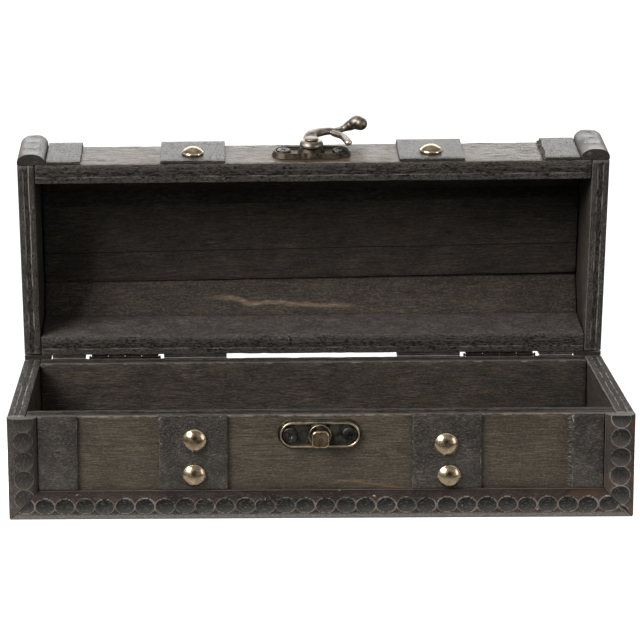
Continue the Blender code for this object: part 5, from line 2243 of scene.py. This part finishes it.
    def _hook(self) -> Mesh:
        """Return the cast swan-neck hook: an eye, an arm that ends in a bulb, and a prong inside it.

        Returns:
            The mesh.
        """
        narrowing = self.eye_foot_radius - self.eye_top_radius
        foot, top = self.eye_foot, self.eye_top
        eye = lathe([
            (0, top), (self.eye_top_radius, top),
            (self.eye_top_radius + narrowing * 0.6, top - self.eye_height * 0.25),
            (self.eye_foot_radius, top - self.eye_height * 0.55),
            (self.eye_foot_radius, foot + self.eye_height * 0.15),
            (self.eye_foot_radius - narrowing * 0.3, foot), (0, foot),
        ], 48)
        passage = self.neck_radius + self.hook_clearance
        prong_path = self.reach - passage - self.prong_width / 2
        jaw_path = self.reach + passage + self.jaw_width / 2
        bulb_path = self.reach + self.knob_size / 2 + self.hook_clearance + self.bulb_width / 2
        fork = self.stud_angle + math.degrees((passage + self.fork_width / 2) / self.reach)
        swan = self.hook_level + self.swan_lift
        level = self.hook_level
        between = (swan + level) / 2
        sag = self.fork_sag
        thick = self.fork_height + 2 * sag
        root = self.eye_top_radius
        arm = self._arm([
            (root / 2, fork + 50, (foot + top) / 2, root * 1.8, self.eye_height * 0.8),
            (self.reach * 0.39, fork + 34, swan, self.swan_width * 1.2, self.swan_height),
            (self.reach * 0.6, fork + 18, swan, self.swan_width, self.swan_height),
            (self.reach * 0.8, fork + 7, between, self.fork_width, self.swan_height * 0.9),
            (self.reach, fork, level - sag, self.fork_width, thick),
            (jaw_path, fork - 2, level - sag, self.jaw_width, thick),
            (
                bulb_path - self.bulb_width * 0.15, fork - 9, level + self.bulb_lift * 0.55,
                self.jaw_width * 1.5, self.bulb_height * 0.76,
            ),
            (bulb_path, fork - 14, level + self.bulb_lift, self.bulb_width, self.bulb_height),
            (
                bulb_path + self.bulb_width * 0.1, fork - 18, level + self.bulb_lift * 0.95,
                self.bulb_width * 0.9, self.bulb_height * 0.92,
            ),
        ])
        prong = self._arm([
            (self.reach * 0.83, fork + 6, between, self.prong_width * 0.8, self.fork_height * 0.7),
            (prong_path, fork - 6, level - sag, self.prong_width, thick),
            (prong_path, fork - 24, level - sag, self.prong_width, thick),
            (prong_path, fork - 54, level - sag, self.prong_width * 1.15, thick),
        ])

        def cast(item: bpy.types.Object) -> None:
            """Run the parts together and soften their joins, as a casting has them.

            Args:
                item: The object, which gets the modifiers.
            """
            mesh = item.modifiers.new("cast", "REMESH")
            mesh.mode = "VOXEL"
            mesh.voxel_size = self.voxel
            soften = item.modifiers.new("soften", "SMOOTH")
            soften.factor = 0.5
            soften.iterations = 8

        whole = worked(joined([eye, arm, prong]), cast)
        radius = self.rivet_radius + self.rivet_clearance
        bore = lathe([(0, 2 * top), (radius, 2 * top), (radius, -top), (0, -top)], 32)
        whole = worked(whole, cut_out, bore)
        mark_rubbed(whole, 1.1 * MM, 4)
        return whole

    def _rivet(self) -> Mesh:
        """Return the rivet: a shank and a low domed head.

        Returns:
            The mesh.
        """
        foot = self.eye_top + self.sizes.seat_gap
        top = foot + self.rivet_rise
        r = self.rivet_head
        shape = lathe([
            (0, top), (r * 0.5, top - 0.01 * MM), (r * 0.78, top - 0.06 * MM), (r * 0.93, top - 0.2 * MM),
            (r, top - 0.42 * MM), (r * 0.98, foot), (self.rivet_radius, foot),
            (self.rivet_radius, self.eye_foot), (0, self.eye_foot),
        ], 40)
        mark_rubbed(shape, 0.45 * MM, 1)
        return shape

    def build(self, bench: Bench) -> None:
        """Put the catch, the latch and the hook in place of their nodes.

        Args:
            bench: Where the pieces are put together.
        """
        for owner, body, place, surface, foot, sole, spill in (
            ("catch", Body.BASE, self.catch_place, Surface.PLATE, self.boss_foot, self.floor, 0.55),
            ("latch", Body.LID, self.latch_place, Surface.LATCH, self.cone_foot, self.cone_sole, 0.9),
        ):
            plate = self._plate(foot, sole, spill)
            node = owner + "_plate"
            bench.put(node + "_cast", plate, body, [surface], [node], place, 55.0)
            for (side, sign), turn in zip(SIDES, (0.5, 0.06)):
                screw = CrossScrew().build()
                mark_rubbed(screw, 0.3 * MM, 1)
                spot = Matrix.Translation((sign * self.screw_x, 0, self.floor + self.sizes.seat_gap))
                node = f"{owner}_screw_{side}"
                bench.put(
                    node + "_head", screw, body, [Surface.SCREW], [node],
                    place @ spot @ Matrix.Rotation(turn, 4, "Z"), 35.0,
                )
        for node, form, shape, body, surface, place, smooth in (
            ("catch_stud", "_knob", self._knob(), Body.BASE, Surface.KNOB, self.catch_place, 50.0),
            ("latch_rivet", "_head", self._rivet(), Body.LID, Surface.HOOK, self.latch_place, 50.0),
            ("latch_hook", "_cast", self._hook(), Body.HOOK, Surface.HOOK, self.latch_place, 70.0),
        ):
            bench.put(node + form, shape, body, [surface], [node], place, smooth)


@dataclass
class Hinges:
    """The two butt hinges on the back: leaves with rolled knuckles, screws and headed pins."""

    sizes: ChestSizes
    leaf_height: float = 9 * MM
    leaf_thickness: float = 0.8 * MM
    knuckles: int = 4
    knuckle_gap: float = 0.3 * MM
    barrel_clearance: float = 0.15 * MM
    pin_radius: float = 0.45 * MM
    pin_clearance: float = 0.1 * MM
    head_radius: float = 0.8 * MM
    head_length: float = 0.6 * MM
    screw_radius: float = 1.8 * MM
    screw_rise: float = 0.5 * MM
    chamfer: float = 0.12 * MM
    bevel: float = 0.1 * MM

    def _leaf(self, centre: float, length: float, owned: Sequence[int], upright: int) -> Mesh:
        """Return one leaf around the pin's axis.

        Args:
            centre: The hinge's middle along X.
            length: Its length.
            owned: Which knuckles the leaf has.
            upright: 1 for a leaf that stands up from the axis, -1 for one that hangs down.

        Returns:
            The mesh.
        """
        barrel = self.sizes.axis_behind - self.barrel_clearance
        pitch = length / self.knuckles
        notch = barrel + self.sizes.seat_gap
        left = centre - length / 2
        right = left + length
        outline = [(left, self.leaf_height), (right, self.leaf_height), (right, notch)]
        parts = []
        bore = self.pin_radius + self.pin_clearance
        for index in reversed(owned):
            low = left + index * pitch + self.knuckle_gap / 2
            high = left + (index + 1) * pitch - self.knuckle_gap / 2
            outline += [(high, notch), (high, bore), (low, bore), (low, notch)]
            run = high - low
            chamfer = self.chamfer
            tube = lathe([
                (bore, 0), (barrel - chamfer, 0), (barrel, chamfer), (barrel, run - chamfer),
                (barrel - chamfer, run), (bore, run),
            ], 28, ring=True)
            parts.append(moved(tube, Matrix.Translation((low, 0, 0)) @ ALONG_X))
        outline.append((left, notch))
        back = -self.sizes.axis_behind + self.sizes.seat_gap
        plate = bmesh.new()
        front = back + self.leaf_thickness
        loft(plate, [[Vector((x, y, upright * z)) for x, z in outline] for y in (back, front)])
        bmesh.ops.recalc_face_normals(plate, faces=plate.faces)
        bmesh.ops.bevel(
            plate, geom=list(plate.edges), offset=self.bevel, offset_type="OFFSET", segments=2,
            profile=0.5, affect="EDGES", clamp_overlap=True,
        )
        parts.append(plate)
        screw_height = upright * (self.leaf_height + notch) / 2
        for across, turn in ((left + length / 4, 0.3), (right - length / 4, 1.1)):
            head = CrossScrew(
                self.screw_radius, self.screw_rise, arm=0.95 * MM, slot=0.2 * MM, depth=0.34 * MM, sides=32
            )
            spot = Matrix.Translation((across, front, screw_height)) @ FACING_BACK
            parts.append(moved(head.build(), spot @ Matrix.Rotation(turn, 4, "Z")))
        whole = joined(parts)
        mark_rubbed(whole, 0.35 * MM, 1)
        return whole

    def _pin(self, length: float) -> Mesh:
        """Return a headed pin along Z, with its middle at the origin.

        Args:
            length: The hinge's length.

        Returns:
            The mesh.
        """
        half = length / 2 + self.sizes.seat_gap
        tip = half + self.head_length
        r, p = self.head_radius, self.pin_radius
        upper = [
            (0, tip), (r * 0.6, tip - 0.05 * MM), (r * 0.92, tip - 0.2 * MM), (r, half + self.chamfer),
            (r * 0.9, half), (p, half),
        ]
        shape = lathe(upper + [(radius, -height) for radius, height in reversed(upper)], 24)
        mark_rubbed(shape, 0.3 * MM, 1)
        return shape

    def build(self, bench: Bench) -> None:
        """Put both hinges in place of their nodes.

        Args:
            bench: Where the pieces are put together.
        """
        inner, outer = self.sizes.hinge_span
        length = outer - inner
        for side, sign in SIDES:
            centre = sign * (inner + outer) / 2
            for owner, body, owned, upright, place in (
                ("lid", Body.LID, (0, 2), 1, self.sizes.lid_place),
                ("base", Body.BASE, (1, 3), -1, self.sizes.axis_place),
            ):
                leaf = self._leaf(centre, length, owned, upright)
                node = f"{owner}_hinge_leaf_{side}"
                bench.put(f"{owner}_hinge_{side}", leaf, body, [Surface.HINGE], [node], place)
            spot = self.sizes.axis_place @ Matrix.Translation((centre, 0, 0)) @ ALONG_X
            node = f"hinge_pin_{side}"
            bench.put(node + "_rod", self._pin(length), Body.BASE, [Surface.HINGE], [node], spot)


@dataclass(frozen=True)
class SoftBox:
    """One large soft light."""

    name: str
    spot: tuple[float, float, float]
    aim: tuple[float, float, float]
    size: tuple[float, float]
    power: float
    colour: Colour = (1.0, 0.97, 0.93)

    def build(self) -> None:
        """Hang the light."""
        lamp = bpy.data.lights.new(self.name, "AREA")
        lamp.shape = "RECTANGLE"
        lamp.size, lamp.size_y = self.size
        lamp.energy = self.power
        lamp.color = self.colour
        item = bpy.data.objects.new(self.name, lamp)
        item.location = self.spot
        item.rotation_mode = "QUATERNION"
        item.rotation_quaternion = (Vector(self.aim) - Vector(self.spot)).to_track_quat("-Z", "Y")
        bpy.context.scene.collection.objects.link(item)


@dataclass
class Studio:
    """The pale floor, the soft light and the camera."""

    elevation: float = math.radians(10.967)
    azimuth: float = math.radians(1.805)
    roll: float = math.radians(-0.895)
    eye: tuple[float, float, float] = (-31.13 * MM, -860.2 * MM, 278.16 * MM)
    focal: float = 2426.1
    shift: tuple[float, float] = (166.41, -131.65)
    frame: float = 640.0
    room_light: float = 0.5
    lens_shade: float = 0.08
    lens_way: tuple[float, float, float] = (0.03, -0.98, 0.19)
    floor_near: float = 0.9
    floor_far: float = 0.12
    warm: Colour = (1.0, 0.965, 0.92)
    boxes: tuple[SoftBox, ...] = (
        SoftBox("key_box", (-1.25, -1.06, 1.25), (0, 0, 0.05), (1.05, 1.05), 60.0),
        SoftBox("right_box", (0.76, -0.36, 0.12), (0, -0.04, 0.03), (0.22, 0.7), 2.4),
        SoftBox("top_box", (0.0, 0.15, 1.2), (0, 0, 0), (1.0, 0.7), 0.8),
        SoftBox("back_box", (0.0, 1.15, 0.78), (0, 0, 0.1), (1.8, 0.7), 14.0, (1.0, 1.0, 1.0)),
    )

    def build(self) -> None:
        """Lay the floor, hang the lights and set up the camera."""
        self._floor()
        self._sky()
        for light in self.boxes:
            light.build()
        self._camera()
        settings = bpy.context.scene.view_settings
        settings.view_transform = "Standard"
        settings.look = "None"

    def _floor(self) -> None:
        """Lay a wide pale floor with a faint unevenness."""
        shape = bmesh.new()
        bmesh.ops.create_grid(shape, x_segments=8, y_segments=8, size=4.0)
        mesh = bpy.data.meshes.new("studio_floor")
        shape.to_mesh(mesh)
        shape.free()
        made = bpy.data.materials.new("pale_floor")
        made.use_nodes = True
        graph = Graph(made.node_tree)
        shader = made.node_tree.nodes["Principled BSDF"].inputs
        spot = graph.spot()
        parts = graph.split(spot)
        aside, ahead = (
            graph.maths("MAXIMUM", graph.minus(graph.maths("ABSOLUTE", part), inside), 0.0)
            for part, inside in ((parts[0], 0.11), (parts[1], 0.04))
        )
        cloud = graph.times(graph.noise(spot, 1.2, 3.0), 0.01)
        reach = graph.plus(graph.plus(aside, ahead), cloud)
        near = graph.spread(reach, 0.07, 0.01)
        low, high = self.floor_far, self.floor_near
        for name, value in {
            "Base Color": graph.blend(near, (low, low, low), (high, high, high)),
            "Roughness": 0.9,
            "Specular IOR Level": 0.1,
            "Emission Color": rgba((1.0, 1.0, 1.0)),
            "Emission Strength": graph.node("ShaderNodeLightPath").outputs["Is Camera Ray"],
        }.items():
            graph.feed(shader[name], value)
        mesh.materials.append(made)
        floor = bpy.data.objects.new("studio_floor", mesh)
        bpy.context.scene.collection.objects.link(floor)

    def _sky(self) -> None:
        """Light the scene from a pale room that is dim where the lens is, and white to the lens itself."""
        world = bpy.data.worlds.new("studio_room")
        world.use_nodes = True
        bpy.context.scene.world = world
        graph = Graph(world.node_tree)
        back = world.node_tree.nodes["Background"].inputs
        feeds = {0: graph.spot("Generated"), 1: self.lens_way}
        facing = graph.fed("ShaderNodeVectorMath", feeds, operation="DOT_PRODUCT")["Value"]
        clear = graph.remap(graph.spread(facing, 0.97, 0.86), self.lens_shade, 1.0)
        seen = graph.node("ShaderNodeLightPath").outputs["Is Camera Ray"]
        strength = graph.fed("ShaderNodeMix", {0: seen, 2: graph.times(self.room_light, clear), 3: 1.0})[0]
        graph.feed(back["Strength"], strength)
        graph.feed(back["Color"], rgba(self.warm))

    def _camera(self) -> None:
        """Set the camera at the photograph's viewing angle."""
        cos_e, sin_e = math.cos(self.elevation), math.sin(self.elevation)
        back = Vector((math.sin(self.azimuth) * cos_e, -math.cos(self.azimuth) * cos_e, sin_e))
        right = Z.cross(back).normalized()
        up = back.cross(right)
        turned_right = right * math.cos(self.roll) + up * math.sin(self.roll)
        turned_up = up * math.cos(self.roll) - right * math.sin(self.roll)
        turn = Matrix((turned_right, turned_up, back)).transposed().to_4x4()
        lens = bpy.data.cameras.new("photo_camera")
        lens.sensor_fit = "HORIZONTAL"
        lens.sensor_width = 36.0
        lens.lens = lens.sensor_width * self.focal / self.frame
        camera = bpy.data.objects.new("photo_camera", lens)
        lens.shift_x = self.shift[0] / self.frame
        lens.shift_y = self.shift[1] / self.frame
        camera.matrix_world = Matrix.Translation(Vector(self.eye)) @ turn
        bpy.context.scene.collection.objects.link(camera)
        bpy.context.scene.camera = camera


def main() -> None:
    """Dress the chest piece by piece, then set the stage."""
    logging.basicConfig(level=logging.INFO, format="%(name)s: %(message)s")
    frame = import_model()
    LOG.info("frame of %d nodes", len(frame["nodes"]))
    bench = Bench()
    for maker in (
        Carcass(SIZES), Strapwork(SIZES), Mouldings(SIZES), DomeNails(SIZES), LatchSet(SIZES), Hinges(SIZES),
    ):
        maker.build(bench)
    Studio().build()
    LOG.info("%d pieces", bench.count)


if __name__ == "__main__":
    main()
